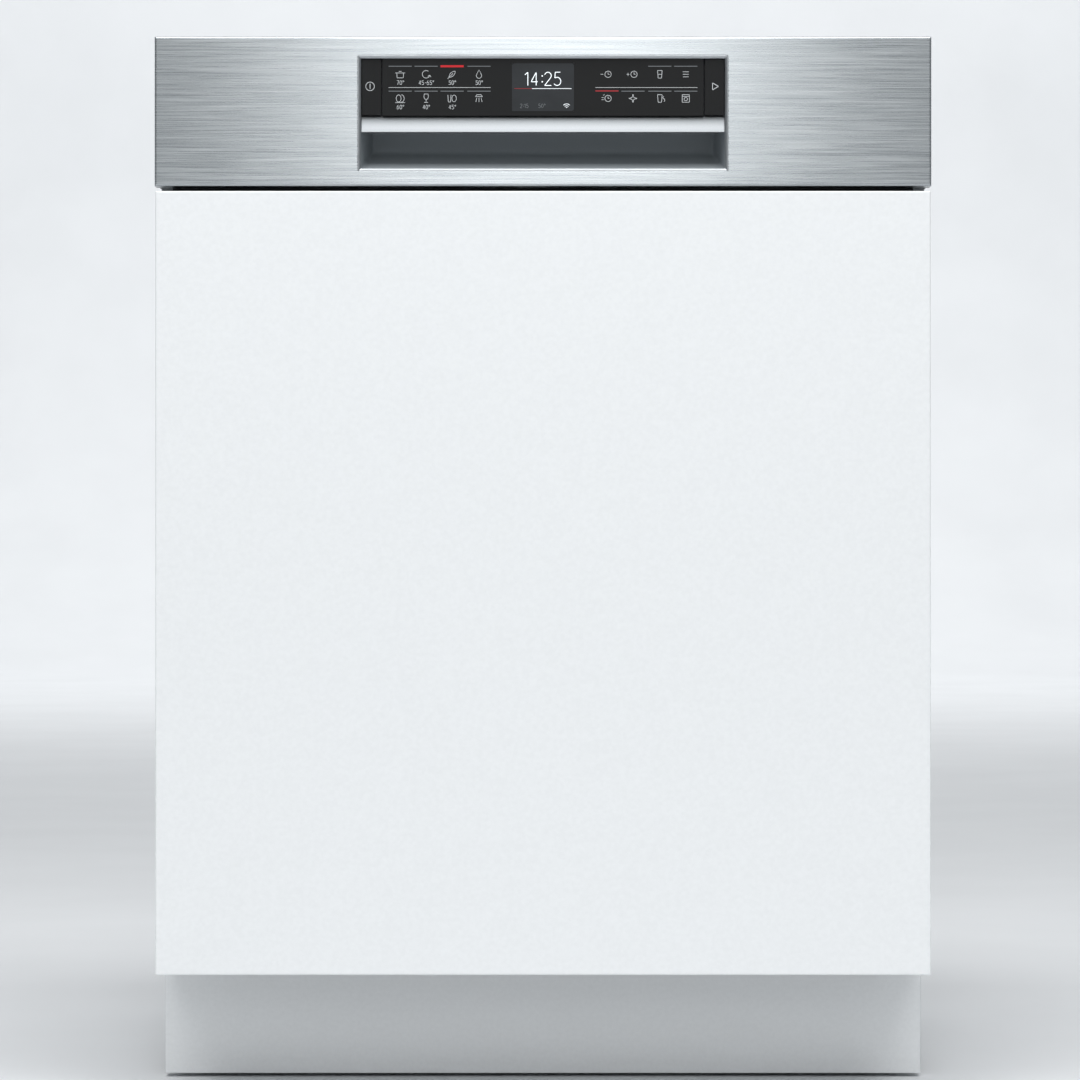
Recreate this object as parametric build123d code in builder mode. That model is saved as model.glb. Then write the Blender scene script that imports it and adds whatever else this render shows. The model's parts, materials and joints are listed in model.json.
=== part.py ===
import os
from math import atan2, degrees

from build123d import *

os.makedirs("parts", exist_ok=True)

# Built-in dishwasher, 60 cm wide, closed, in millimetres.
# X runs to the right, the front faces -Y, Z is up and the floor is at Z = 0.

# Overall sizes
WIDTH = 598.0
HEIGHT = 815.0
DEPTH = 573.0
RUNNING_GAP = 0.4        # between pieces that move past each other
SEAT_GAP = 0.2           # between pieces that are clipped together
FIT = 0.06               # radial play of a pin or plug in its bore
SHEET = 1.0              # steel sheet of cabinet and door
DRUM_SIDE_COUNT = 20          # flats of round bodies that no bearing runs on
TUB_SHEET = 1.2          # stainless sheet of the tub

# Front of the door, from the top down
FASCIA_DROP = 3.0
FASCIA_HEIGHT = 115.0
FASCIA_RETURN = 18.0
FASCIA_EDGE = 1.6
FRONT_GAP = 3.8
FURNITURE_RISE = 89.7    # lower edge of the furniture panel above the floor
FURNITURE_SIDE_GAP = 0.5 # side of the machine to the side of the panel
FURNITURE_THICKNESS = 19.0
FURNITURE_EDGE = 1.2

# Window in the fascia and what sits in it
WINDOW_WIDTH = 285.0
WINDOW_HEIGHT = 89.5
WINDOW_RISE = 11.2       # window above the lower edge of the fascia
WINDOW_CORNER = 1.2
TRIM_WIDTH = 2.2
TRIM_DEPTH = 5.0
TRIM_BEVEL = 1.5
STRIP_HEIGHT = 44.0
STRIP_RECESS = 2.4
STRIP_DEPTH = 7.0
KEY_WIDTH = 16.0
KEY_STROKE = 1.2
KEY_EDGE = 0.5
DISPLAY_WIDTH = 48.0
DISPLAY_HEIGHT = 37.0
DISPLAY_DEPTH = 3.0
LIP_HEIGHT = 12.6
LIP_BULGE = 2.6
LIP_DEPTH = 8.0
LIP_HOOK = 3.0
POCKET_DEPTH = 34.0
POCKET_FLOOR_RISE = 14.0
POCKET_SIDE_DRAFT = 7.0
MOULDING_WALL = 2.5
MOULDING_FLANGE = 6.0
BOARD_WIDTH = 220.0
BOARD_HEIGHT = 38.0
BOARD_THICKNESS = 1.6
BOARD_STANDOFF = 4.0
POST_RADIUS = 2.5

# Door
DOOR_DEPTH = 60.0        # front of the fascia to the tub flange
GASKET = 3.7
GASKET_WIDTH = 12.0
GASKET_INSET = 1.5       # tub opening to gasket
HINGE_RISE = 16.5        # hinge axis above the lower edge of the furniture panel
PIN_RADIUS = 5.0
HINGE_PLATE = 3.0
HINGE_EYE = 10.0
HINGE_ARM_LENGTH = 180.0
HINGE_ARM_WIDTH = 22.0
PAN_SIDE_GAP = 12.5      # side of the machine to the side of the door pan
PAN_RISE = 6.5           # door pan above the lower edge of the furniture panel
LINER_TOP_DROP = 18.0    # door liner below the top of the machine
LINER_RELIEF = 10.0      # raised field of the liner
LINER_MARGIN = 8.0       # raised field inside the tub opening
LINER_BEVEL = 9.0
SCREW_RADIUS = 3.5
SCREW_HEIGHT = 1.5
SCREW_INSET = 5.0
SCREW_COUNT = 4

# Detergent dispenser on the door liner
DISPENSER_WIDTH = 156.0
DISPENSER_HEIGHT = 140.0
DISPENSER_X = -20.0
DISPENSER_DROP = 36.5    # dispenser below the middle of the raised field
DISPENSER_DEPTH = 30.0
DISPENSER_FLANGE = 3.0
DISPENSER_LAP = 5.0
CUP_WIDTH = 64.0
CUP_HEIGHT = 50.0
CUP_DEPTH = 24.0
LID_LAP = 4.0
LID_THICKNESS = 3.2
LID_GRIP = 4.0
LID_RIB = 3.0
CAP_RADIUS = 20.0
CAP_HEIGHT = 7.0
CAP_PLUG_RADIUS = 12.0
CAP_PLUG_LENGTH = 12.0
CAP_BAR = 5.0

# Door lock
LOCK_WIDTH = 70.0
LOCK_HEIGHT = 26.0
LOCK_DEPTH = 32.0
LOCK_SLOT_WIDTH = 36.0
LOCK_SLOT_HEIGHT = 12.0
LEVER_WIDTH = 14.0
LEVER_PIN = 2.0
LEVER_NOSE = 5.0
LEVER_NOSE_BEVEL = 1.0
STRIKE_WIDTH = 24.0
STRIKE_PLATE = 2.5
STRIKE_HOOK = 3.0
STRIKE_DROP = 14.0       # tongue below the top of the machine

# Tub
SIDE_SPACE = 28.0        # side of the machine to the inside of the tub
REAR_SPACE = 24.0
TOP_SPACE = 32.0
TUB_RIM = 150.0          # height of the wheel tracks
TUB_CORNER = 22.0
FLANGE_DROP = 4.0
PAN_DROP = 12.0          # tub floor below the wheel tracks
TRACK_WIDTH = 30.0
TRACK_ENDS = 22.0
FLOOR_SLOPE_RUN = 34.0
FLOOR_LIP = 18.0
SUMP_HOLE = 176.0
SUMP_CORNER = 24.0

# Cabinet
MAT_THICKNESS = 9.0
CROSSBAR_DEPTH = 44.0
WORKTOP_HOLE_RADIUS = 2.5
WORKTOP_HOLE_SPACING = 440.0
WORKTOP_HOLE_BACK = 22.0
SIDE_PANEL_DROP = 4.0
BASE_FLOOR = 28.0
BASE_WALL = 3.0
BASE_FLOOR_PLATE = 4.0
BASE_LEDGE = 34.0
BASE_FRONT = 102.0       # front of the machine to the base tray
BASE_REAR = 40.0
PLINTH_THICKNESS = 16.0
PLINTH_TOP = 95.0
PLINTH_CLEARANCE = 3.0
BRACKET_LENGTH = 84.0
BRACKET_HEIGHT = 34.0

# Feet
FOOT_RADIUS = 21.0
FOOT_PAD = 8.0
FOOT_STEM = 6.0
FOOT_STEM_LENGTH = 104.0
FOOT_TRAVEL = 60.0
FOOT_BOSS = 10.0
FOOT_BOSS_HEIGHT = 34.0
FOOT_SIDE = 34.0         # side of the machine to a front foot
FOOT_FRONT = 134.0
FOOT_REAR = 74.0

# Water system
SUMP_BODY = 160.0        # square with rounded corners
SUMP_WALL = 3.0
SUMP_FLANGE = 14.0
SUMP_BOTTOM = 62.0
HUB_RADIUS = 15.0
HUB_STEM = 9.0
FILTER_X = 42.0
FILTER_Y = -28.0
FILTER_RADIUS = 29.0
FILTER_DEPTH = 58.0
FILTER_FLANGE = 5.0
FILTER_PLATE = 1.5
FILTER_PLATE_LAP = 12.0
SPIGOT_RADIUS = 19.0
SPIGOT_REACH = 18.0
PUMP_RADIUS = 38.0
PUMP_LENGTH = 78.0
VOLUTE_RADIUS = 44.0
VOLUTE_LENGTH = 30.0
DRAIN_RADIUS = 25.0
DRAIN_LENGTH = 62.0
PUMP_FOOT = 16.0
SALT_SIDE_GAP = 8.0      # salt cap to the foot of the pan slope
SALT_SUMP_GAP = 4.0      # salt tank to the sump
SALT_FRONT_GAP = 14.5    # front of the base to the salt tank
SALT_NECK = 26.0
SALT_CAP_RADIUS = 33.0
SALT_CAP_HEIGHT = 13.0
SALT_TANK_WIDTH = 112.0
SALT_TANK_HEIGHT = 84.0
VALVE_SIDE = 85.0        # side of the machine to the inlet
VALVE_SIZE = 52.0
INLET_RADIUS = 13.0
INLET_BORE = 8.0
INLET_COLLAR = 2.0
INLET_LENGTH = 24.0
DRAIN_OUT_SPACING = 94.0 # inlet to drain outlet
DRAIN_OUT_RADIUS = 9.5
DRAIN_OUT_BORE = 7.0
DRAIN_OUT_LENGTH = 32.0
CABLE_SIDE = 99.0        # side of the machine to the cable entry
CABLE_GLAND = 10.0
CABLE_BORE = 4.0
CABLE_GLAND_LENGTH = 14.0
PORT_HEIGHT = 84.0
DUCT_WIDTH = 58.0
DUCT_DEPTH = 16.0
DUCT_RISE = 14.0         # duct above the wheel tracks
SHOWER_RADIUS = 42.0
SHOWER_HEIGHT = 14.0
CEILING_PIPE = 24.0

# Racks
RACK_SIDE_GAP = 26.0     # tub wall to rack
RACK_FRONT_GAP = 27.0    # tub front to rack
RACK_REAR_GAP = 6.0      # duct to rack
WIRE = 2.3
RIM_WIRE = 2.8
TINE = 1.9
WIRE_SIDE_COUNT = 4
RIM_CORNER = 16.0
LOWER_FLOOR = 44.0       # lower rack floor above the wheel tracks
LOWER_HEIGHT = 145.0
LOWER_FLARE = 30.0       # front and rear walls lean out by this much
LOWER_LONG_COUNT = 7
LOWER_CROSS_COUNT = 5
LOWER_TRAVEL = 250.0
UPPER_DROP = 194.0       # upper rack floor below the tray floor
UPPER_HEIGHT = 128.0
UPPER_FLARE = 20.0
UPPER_LONG_COUNT = 7
UPPER_CROSS_COUNT = 4
UPPER_TRAVEL = 400.0
TINE_HEIGHT = 78.0
TINE_COUNT = 11
TINE_SIDE_MARGIN = 12.0
CLIP_WIDTH = 6.0
CLIP_LENGTH = 14.0
CLIP_WALL = 2.5
LOWER_TINES_Y = 96.0
UPPER_TINES_Y = 92.0
WHEEL_RADIUS = 17.0
WHEEL_WIDTH = 11.0
AXLE_RADIUS = 3.5
AXLE_BLOCK = 14.0
CARRIER_RISE = 54.0      # top of the wheel carriers above the rack floor
WHEEL_SPACING = 132.0
WHEEL_COUNT = 3
WHEEL_SETBACK = 112.0    # front of the rack to the first wheels
RAIL_WALL = 1.6
RAIL_HEIGHT = 26.0
RAIL_DEPTH = 13.0
RAIL_END_GAP = 14.0
RAIL_RISE = 66.0         # rail above the upper rack floor
RUNNER_LENGTH = 430.0
TRAY_DROP = 77.0         # tray floor below the tub ceiling
TRAY_HEIGHT = 40.0
TRAY_WALL = 2.4
TRAY_ROW_COUNT = 4
TRAY_COLUMN_COUNT = 8
TRAY_SLOT_WIDTH = 26.0
TRAY_SLOT_LENGTH = 74.0
TRAY_RAIL_HEIGHT = 22.0
TRAY_LEDGE = 12.0
FEED_RADIUS = 11.0
FEED_DROP = 16.0
LOWER_ARM_REACH = 214.0
UPPER_ARM_REACH = 196.0
ARM_THICKNESS = 13.0
ARM_ROOT = 34.0
ARM_TIP = 22.0
ARM_HUB = 25.0
ARM_RISE = 15.0          # lower arm above the wheel tracks
JET_COUNT = 4
JET_LENGTH = 9.0
JET_WIDTH = 3.0

# Planes and levels that follow from the sizes above
FRONT = -DEPTH / 2
BACK = DEPTH / 2
HALF = WIDTH / 2
INNER_HALF = HALF - SHEET
FASCIA_TOP = HEIGHT - FASCIA_DROP
FASCIA_BOTTOM = FASCIA_TOP - FASCIA_HEIGHT
FURNITURE_TOP = FASCIA_BOTTOM - FRONT_GAP
FURNITURE_BOTTOM = FURNITURE_RISE
FURNITURE_HEIGHT = FURNITURE_TOP - FURNITURE_BOTTOM
FURNITURE_WIDTH = WIDTH - 2 * FURNITURE_SIDE_GAP
FURNITURE_BACK = FRONT + FURNITURE_THICKNESS
TUB_FRONT = FRONT + DOOR_DEPTH
LINER_BACK = TUB_FRONT - GASKET - RUNNING_GAP
LINER_FRONT = LINER_BACK - SHEET
HINGE_Y = LINER_BACK
HINGE_Z = FURNITURE_BOTTOM + HINGE_RISE
TUB_HALF = HALF - SIDE_SPACE
TUB_REAR = BACK - REAR_SPACE
TUB_CEILING = HEIGHT - TOP_SPACE
TUB_MID = (TUB_FRONT + TUB_REAR) / 2
FLOOR_LEVEL = TUB_RIM - PAN_DROP
TUB_OUTER_HALF = TUB_HALF + TUB_SHEET
TUB_TOP = TUB_CEILING + TUB_SHEET
FLANGE_TOP = HEIGHT - FLANGE_DROP
BASE_TOP = TUB_RIM - TUB_SHEET
PAN_HALF = HALF - PAN_SIDE_GAP
PAN_BOTTOM = FURNITURE_BOTTOM + PAN_RISE
HOUSING_BOTTOM = FASCIA_BOTTOM + SHEET + SEAT_GAP
HOUSING_TOP = FASCIA_TOP - SHEET - SEAT_GAP
HOUSING_HALF = INNER_HALF - SEAT_GAP
HOUSING_FRONT = FRONT + SHEET
LINER_TOP = HEIGHT - LINER_TOP_DROP
WINDOW_BOTTOM = FASCIA_BOTTOM + WINDOW_RISE
WINDOW_TOP = WINDOW_BOTTOM + WINDOW_HEIGHT
WINDOW_MID = (WINDOW_BOTTOM + WINDOW_TOP) / 2
TRIM_HALF = WINDOW_WIDTH / 2 - SEAT_GAP - TRIM_WIDTH
STRIP_TOP = WINDOW_TOP - SEAT_GAP - TRIM_WIDTH
STRIP_BOTTOM = STRIP_TOP - STRIP_HEIGHT
STRIP_MID = (STRIP_TOP + STRIP_BOTTOM) / 2
STRIP_FRONT = FRONT + STRIP_RECESS
STRIP_BACK = STRIP_FRONT + STRIP_DEPTH
STRIP_HALF = TRIM_HALF - KEY_WIDTH
LIP_BOTTOM = STRIP_BOTTOM - LIP_HEIGHT
POCKET_BOTTOM = WINDOW_BOTTOM + SEAT_GAP + TRIM_WIDTH
RACK_HALF = TUB_HALF - RACK_SIDE_GAP
RACK_FRONT = TUB_FRONT + RACK_FRONT_GAP
RACK_REAR = TUB_REAR - DUCT_DEPTH - RACK_REAR_GAP
TRAY_LOW = TUB_CEILING - TRAY_DROP
UPPER_Z = TRAY_LOW - UPPER_DROP
LOWER_Z = TUB_RIM + LOWER_FLOOR
VALVE_X = HALF - VALVE_SIDE
DRAIN_OUT_X = VALVE_X - DRAIN_OUT_SPACING
CABLE_X = CABLE_SIDE - HALF


# Helpers used by many pieces
def block(x, y, z, mode=Mode.ADD):
    """A block between the low and high values along each axis."""
    with Locations(((x[0] + x[1]) / 2, (y[0] + y[1]) / 2, (z[0] + z[1]) / 2)):
        Box(x[1] - x[0], y[1] - y[0], z[1] - z[0], mode=mode)


def front_plane(y):
    """A sketch plane that faces the front: X to the right and Z up."""
    return Plane(origin=(0, y, 0), x_dir=(1, 0, 0), z_dir=(0, -1, 0))


def wire(points, radius):
    """One four-sided wire along straight runs."""
    start = Vector(*points[0])
    toward = Vector(*points[1]) - start
    with BuildPart(mode=Mode.PRIVATE) as piece:
        with BuildLine(mode=Mode.PRIVATE) as path:
            Polyline(*points)
        with BuildSketch(Plane(origin=start, z_dir=toward)):
            RegularPolygon(radius, WIRE_SIDE_COUNT)
        sweep(path=path.line, transition=Transition.RIGHT)
    return piece.part


def spread(low, high, count):
    """Evenly spread places from low to high."""
    step = (high - low) / (count - 1)
    return [low + step * i for i in range(count)]


def long_places(count):
    """Places across a rack of its long wires."""
    edge = RACK_HALF - RIM_WIRE - RIM_CORNER - WIRE
    return spread(-edge, edge, count)


def basket(floor, height, flare, long_count, cross_count):
    """Wires of a rack: long wires, cross wires over them and a closed rim."""
    top = floor + height
    front = RACK_FRONT + RIM_WIRE
    back = RACK_REAR - RIM_WIRE
    side = RACK_HALF - RIM_WIRE
    wires = []
    for x in long_places(long_count):
        wires.append(wire([(x, front, top), (x, front + flare, floor), (x, back - flare, floor), (x, back, top)], WIRE))
    over = floor + WIRE * 1.5
    for y in spread(front + flare + RIM_CORNER / 2, back - flare - RIM_CORNER / 2, cross_count):
        wires.append(wire([(-side, y, top), (-side, y, over), (side, y, over), (side, y, top)], WIRE))
    rim = [(-side, front + RIM_CORNER, top), (-side, back - RIM_CORNER, top), (-side + RIM_CORNER, back, top),
           (side - RIM_CORNER, back, top), (side, back - RIM_CORNER, top), (side, front + RIM_CORNER, top),
           (side - RIM_CORNER, front, top), (-side + RIM_CORNER, front, top), (-side, front + RIM_CORNER, top)]
    for a, b in zip(rim, rim[1:]):
        wires.append(wire([a, b], RIM_WIRE))
    return wires


def field(rack, x, y):
    """The part of a rack between two values across it and two along it."""
    with BuildPart(mode=Mode.PRIVATE) as grid:
        add(rack)
        block(x, y, (0, HEIGHT), mode=Mode.INTERSECT)
    return grid.solids()


def flat_grids(rack, flare):
    """A rack parted along its bends into the flat grids that are welded into one."""
    inner = RACK_HALF - 3 * RIM_WIRE
    near = RACK_FRONT + RIM_WIRE + flare
    far = RACK_REAR - RIM_WIRE - flare
    whole = (RACK_FRONT - RIM_WIRE, RACK_REAR + RIM_WIRE)
    fields = (((-RACK_HALF - RIM_WIRE, -inner), whole), ((inner, RACK_HALF + RIM_WIRE), whole),
              ((-inner, inner), (whole[0], near)), ((-inner, inner), (near, far)), ((-inner, inner), (far, whole[1])))
    return [grid for x, y in fields for grid in field(rack, x, y)]


def comb(y, base, half):
    """A rod across the rack, held in clips near its ends, with tines standing on it."""
    wires = [wire([(-half - CLIP_WIDTH, y, base), (half + CLIP_WIDTH, y, base)], TINE)]
    for x in spread(-half + TINE_SIDE_MARGIN, half - TINE_SIDE_MARGIN, TINE_COUNT):
        wires.append(wire([(x, y, base), (x, y, base + TINE_HEIGHT)], TINE))
    return wires


def clips(y, floor, rod, half):
    """Clips on two long wires of a rack, bored for the rod of the tines."""
    with BuildPart(mode=Mode.PRIVATE) as pair:
        for x in (-half, half):
            block((x - CLIP_WIDTH / 2, x + CLIP_WIDTH / 2), (y - CLIP_LENGTH / 2, y + CLIP_LENGTH / 2),
                  (floor, rod + TINE + CLIP_WALL))
        with BuildSketch(Plane.YZ.offset(-half - CLIP_WIDTH)) as bore:
            with Locations((y, rod)):
                Circle(TINE + FIT)
        extrude(amount=2 * (half + CLIP_WIDTH), mode=Mode.SUBTRACT)
    return pair.part


def spray_arm(y, z, reach):
    """Two tapered blades and a hub, with jets and a bore for the stem."""
    pitch = (reach - ARM_TIP - ARM_HUB) / JET_COUNT
    with BuildPart() as arm:
        with BuildSketch(Plane(origin=(0, y, z))):
            with BuildLine():
                Polyline((0, -ARM_ROOT / 2), (reach - ARM_TIP, -ARM_TIP / 2), (reach, 0), (reach - ARM_TIP, ARM_TIP / 2),
                         (0, ARM_ROOT / 2), (0, -ARM_ROOT / 2))
            make_face()
            mirror(about=Plane.YZ)
            drum(ARM_HUB)
            Circle(HUB_STEM + FIT, mode=Mode.SUBTRACT)
        extrude(amount=ARM_THICKNESS)
        with BuildSketch(Plane(origin=(0, y, z + ARM_THICKNESS))):
            for side in (-1, 1):
                for i in range(JET_COUNT):
                    with Locations((side * (ARM_HUB + pitch * (i + 0.6)), 0)):
                        Rectangle(JET_LENGTH, JET_WIDTH)
        extrude(amount=-ARM_THICKNESS / 2, mode=Mode.SUBTRACT)
    return arm


def drum(radius, mode=Mode.ADD):
    """A round outline with flats, for bodies that no bearing runs on."""
    RegularPolygon(radius, DRUM_SIDE_COUNT, mode=mode)


# Furniture panel on the door
with BuildPart() as furniture_panel:
    with BuildSketch(front_plane(FURNITURE_BACK)):
        with Locations((0, (FURNITURE_TOP + FURNITURE_BOTTOM) / 2)):
            Rectangle(FURNITURE_WIDTH, FURNITURE_HEIGHT)
    extrude(amount=FURNITURE_THICKNESS)
    fillet(furniture_panel.faces().sort_by(Axis.Y)[0].edges(), FURNITURE_EDGE)

# Steel fascia with folded edges and its window
with BuildPart() as fascia:
    with BuildSketch(front_plane(FRONT + FASCIA_RETURN)):
        with Locations((0, (FASCIA_TOP + FASCIA_BOTTOM) / 2)):
            Rectangle(WIDTH, FASCIA_HEIGHT)
    extrude(amount=FASCIA_RETURN)
    fillet(fascia.faces().sort_by(Axis.Y)[0].edges(), FASCIA_EDGE)
    block((-INNER_HALF, INNER_HALF), (FRONT + SHEET, FRONT + FASCIA_RETURN),
          (FASCIA_BOTTOM + SHEET, FASCIA_TOP - SHEET), mode=Mode.SUBTRACT)
    with BuildSketch(front_plane(FRONT + FASCIA_RETURN)):
        with Locations((0, WINDOW_MID)):
            RectangleRounded(WINDOW_WIDTH, WINDOW_HEIGHT, WINDOW_CORNER)
    extrude(amount=FASCIA_RETURN, mode=Mode.SUBTRACT)

# Trim round the window
with BuildPart() as window_trim:
    with BuildSketch(front_plane(FRONT + TRIM_DEPTH)):
        with Locations((0, WINDOW_MID)):
            RectangleRounded(WINDOW_WIDTH - 2 * SEAT_GAP, WINDOW_HEIGHT - 2 * SEAT_GAP, WINDOW_CORNER)
            Rectangle(2 * TRIM_HALF, WINDOW_HEIGHT - 2 * SEAT_GAP - 2 * TRIM_WIDTH, mode=Mode.SUBTRACT)
    extrude(amount=TRIM_DEPTH)
    inner = window_trim.faces().sort_by(Axis.Y)[0].inner_wires()[0].edges()
    chamfer(inner, TRIM_BEVEL)

# Plastic housing behind the fascia
FRAME_HALF = WINDOW_WIDTH / 2 - SEAT_GAP
FRAME_LOW = WINDOW_BOTTOM + SEAT_GAP
FRAME_HIGH = WINDOW_TOP - SEAT_GAP
PLATE_BACK = HOUSING_FRONT + MOULDING_WALL
with BuildPart() as control_housing:
    block((-HOUSING_HALF, HOUSING_HALF), (HOUSING_FRONT, LINER_FRONT), (HOUSING_BOTTOM, HOUSING_TOP))
    block((-HOUSING_HALF + MOULDING_WALL, HOUSING_HALF - MOULDING_WALL), (PLATE_BACK, LINER_FRONT),
          (HOUSING_BOTTOM + MOULDING_WALL, HOUSING_TOP - MOULDING_WALL), mode=Mode.SUBTRACT)
    block((-WINDOW_WIDTH / 2, WINDOW_WIDTH / 2), (HOUSING_FRONT, PLATE_BACK),
          (WINDOW_BOTTOM, WINDOW_TOP), mode=Mode.SUBTRACT)

# Moulding in the window: grip pocket below, seat of the control strip above
TRIM_BACK = FRONT + TRIM_DEPTH
FLANGE_BACK = PLATE_BACK + MOULDING_WALL
CUP_TOP = LIP_BOTTOM + LIP_HOOK
SHELF_TOP = STRIP_BOTTOM - SEAT_GAP
CUP_FRONT = TRIM_BACK + SEAT_GAP
CUP_BACK = CUP_FRONT + POCKET_DEPTH
LIP_BACK = STRIP_FRONT + LIP_DEPTH


def drafted_cup(front, back, half, bottom, top):
    """A cup with a rising floor, from its side profile, and drafted ends, from its plan."""
    with BuildPart() as cup:
        with BuildSketch(Plane.YZ):
            Polygon((front, bottom), (back, bottom + POCKET_FLOOR_RISE), (back, top), (front, top), align=None)
        extrude(amount=half, both=True)
        with BuildSketch(Plane.XY.offset(bottom)):
            Polygon((-half, front), (half, front), (half - POCKET_SIDE_DRAFT, back),
                    (POCKET_SIDE_DRAFT - half, back), align=None)
        extrude(amount=top - bottom, mode=Mode.INTERSECT)
    return cup.part


cup_outside = drafted_cup(CUP_FRONT, CUP_BACK + MOULDING_WALL, TRIM_HALF + MOULDING_WALL,
                          POCKET_BOTTOM - MOULDING_WALL, SHELF_TOP)
cup_inside = drafted_cup(CUP_FRONT - SEAT_GAP, CUP_BACK, TRIM_HALF, POCKET_BOTTOM, CUP_TOP)
with BuildPart() as handle_pocket:
    block((-FRAME_HALF - MOULDING_FLANGE, FRAME_HALF + MOULDING_FLANGE), (PLATE_BACK, FLANGE_BACK),
          (FRAME_LOW - MOULDING_FLANGE, FRAME_HIGH + MOULDING_FLANGE))
    block((-TRIM_HALF - MOULDING_WALL, TRIM_HALF + MOULDING_WALL), (FLANGE_BACK, STRIP_BACK + MOULDING_WALL),
          (CUP_TOP, STRIP_TOP + MOULDING_WALL))
    add(cup_outside)
    block((-FRAME_HALF, FRAME_HALF), (FRONT, TRIM_BACK + SEAT_GAP), (FRAME_LOW, FRAME_HIGH), mode=Mode.SUBTRACT)
    block((-TRIM_HALF - SEAT_GAP, TRIM_HALF + SEAT_GAP), (FRONT, STRIP_BACK),
          (STRIP_BOTTOM - SEAT_GAP, STRIP_TOP + SEAT_GAP), mode=Mode.SUBTRACT)
    block((-TRIM_HALF - SEAT_GAP, TRIM_HALF + SEAT_GAP), (FRONT, LIP_BACK), (LIP_BOTTOM - SEAT_GAP, SHELF_TOP + SEAT_GAP),
          mode=Mode.SUBTRACT)
    add(cup_inside, mode=Mode.SUBTRACT)
    with BuildSketch(Plane.XZ.offset(-STRIP_BACK - MOULDING_WALL)):
        with Locations((0, STRIP_MID)):
            with GridLocations(BOARD_WIDTH - 4 * POST_RADIUS, BOARD_HEIGHT - 4 * POST_RADIUS, 2, 2):
                Rectangle(2 * POST_RADIUS, 2 * POST_RADIUS)
    extrude(amount=-BOARD_STANDOFF)

# Silver lip above the pocket, the edge that the fingers pull
with BuildPart() as handle_lip:
    top = STRIP_BOTTOM - SEAT_GAP
    with BuildSketch(Plane.YZ.offset(-TRIM_HALF + SEAT_GAP)):
        with BuildLine():
            ThreePointArc((STRIP_FRONT + LIP_BULGE, top), (STRIP_FRONT, LIP_BOTTOM + LIP_HEIGHT * 0.42),
                          (STRIP_FRONT + LIP_BULGE / 2, LIP_BOTTOM))
            Polyline((STRIP_FRONT + LIP_BULGE / 2, LIP_BOTTOM), (LIP_BACK, LIP_BOTTOM), (LIP_BACK, top),
                     (STRIP_FRONT + LIP_BULGE, top))
        make_face()
    extrude(amount=2 * (TRIM_HALF - SEAT_GAP))

# Black control strip between the two keys, with a seat for the display
with BuildPart() as control_strip:
    block((-STRIP_HALF + SEAT_GAP, STRIP_HALF - SEAT_GAP), (STRIP_FRONT, STRIP_BACK), (STRIP_BOTTOM, STRIP_TOP))
    fillet(control_strip.faces().sort_by(Axis.Y)[0].edges().filter_by(Axis.Z), KEY_EDGE)
    block((-DISPLAY_WIDTH / 2 - SEAT_GAP, DISPLAY_WIDTH / 2 + SEAT_GAP), (STRIP_FRONT, STRIP_FRONT + DISPLAY_DEPTH),
          (STRIP_MID - DISPLAY_HEIGHT / 2 - SEAT_GAP, STRIP_MID + DISPLAY_HEIGHT / 2 + SEAT_GAP),
          mode=Mode.SUBTRACT)

# Display window in the strip
with BuildPart() as display_window:
    block((-DISPLAY_WIDTH / 2, DISPLAY_WIDTH / 2), (STRIP_FRONT, STRIP_FRONT + DISPLAY_DEPTH),
          (STRIP_MID - DISPLAY_HEIGHT / 2, STRIP_MID + DISPLAY_HEIGHT / 2))


# The two keys at the ends of the strip, with room behind them to be pressed
def end_key(side):
    outer = TRIM_HALF - RUNNING_GAP
    inner = STRIP_HALF + RUNNING_GAP
    with BuildPart() as key:
        block(sorted((side * inner, side * outer)), (STRIP_FRONT, STRIP_BACK - KEY_STROKE - RUNNING_GAP),
              (STRIP_BOTTOM + RUNNING_GAP, STRIP_TOP - RUNNING_GAP))
        fillet(key.faces().sort_by(Axis.Y)[0].edges(), KEY_EDGE)
    return key


on_off_button = end_key(-1)
start_button = end_key(1)

# Control board on the posts of the moulding
BOARD_Y = STRIP_BACK + MOULDING_WALL + BOARD_STANDOFF
with BuildPart() as control_board:
    block((-BOARD_WIDTH / 2, BOARD_WIDTH / 2), (BOARD_Y, BOARD_Y + BOARD_THICKNESS),
          (STRIP_MID - BOARD_HEIGHT / 2, STRIP_MID + BOARD_HEIGHT / 2))
    with BuildSketch(Plane.XZ.offset(-BOARD_Y - BOARD_THICKNESS)):
        with Locations((0, STRIP_MID - BOARD_HEIGHT / 4)):
            with GridLocations(BOARD_WIDTH / 4, BOARD_HEIGHT, 4, 1):
                Rectangle(BOARD_WIDTH / 9, BOARD_HEIGHT / 3)
    extrude(amount=-BOARD_STANDOFF)

# Outer pan of the door, open to the back
with BuildPart() as door_outer:
    block((-PAN_HALF, PAN_HALF), (FURNITURE_BACK, LINER_FRONT), (PAN_BOTTOM, HOUSING_BOTTOM))
    block((-PAN_HALF + SHEET, PAN_HALF - SHEET), (FURNITURE_BACK + SHEET, LINER_FRONT),
          (PAN_BOTTOM + SHEET, HOUSING_BOTTOM - SHEET), mode=Mode.SUBTRACT)

# Door liner with a raised field that enters the tub
FIELD_HALF = TUB_HALF - LINER_MARGIN
FIELD_LOW = TUB_RIM + LINER_MARGIN
FIELD_HIGH = TUB_CEILING - LINER_MARGIN
FIELD_MID = (FIELD_LOW + FIELD_HIGH) / 2
FIELD_BACK = LINER_BACK + LINER_RELIEF
DISPENSER_Z = FIELD_MID - DISPENSER_DROP
DISPENSER_SIZE = (DISPENSER_WIDTH, DISPENSER_HEIGHT)


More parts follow.
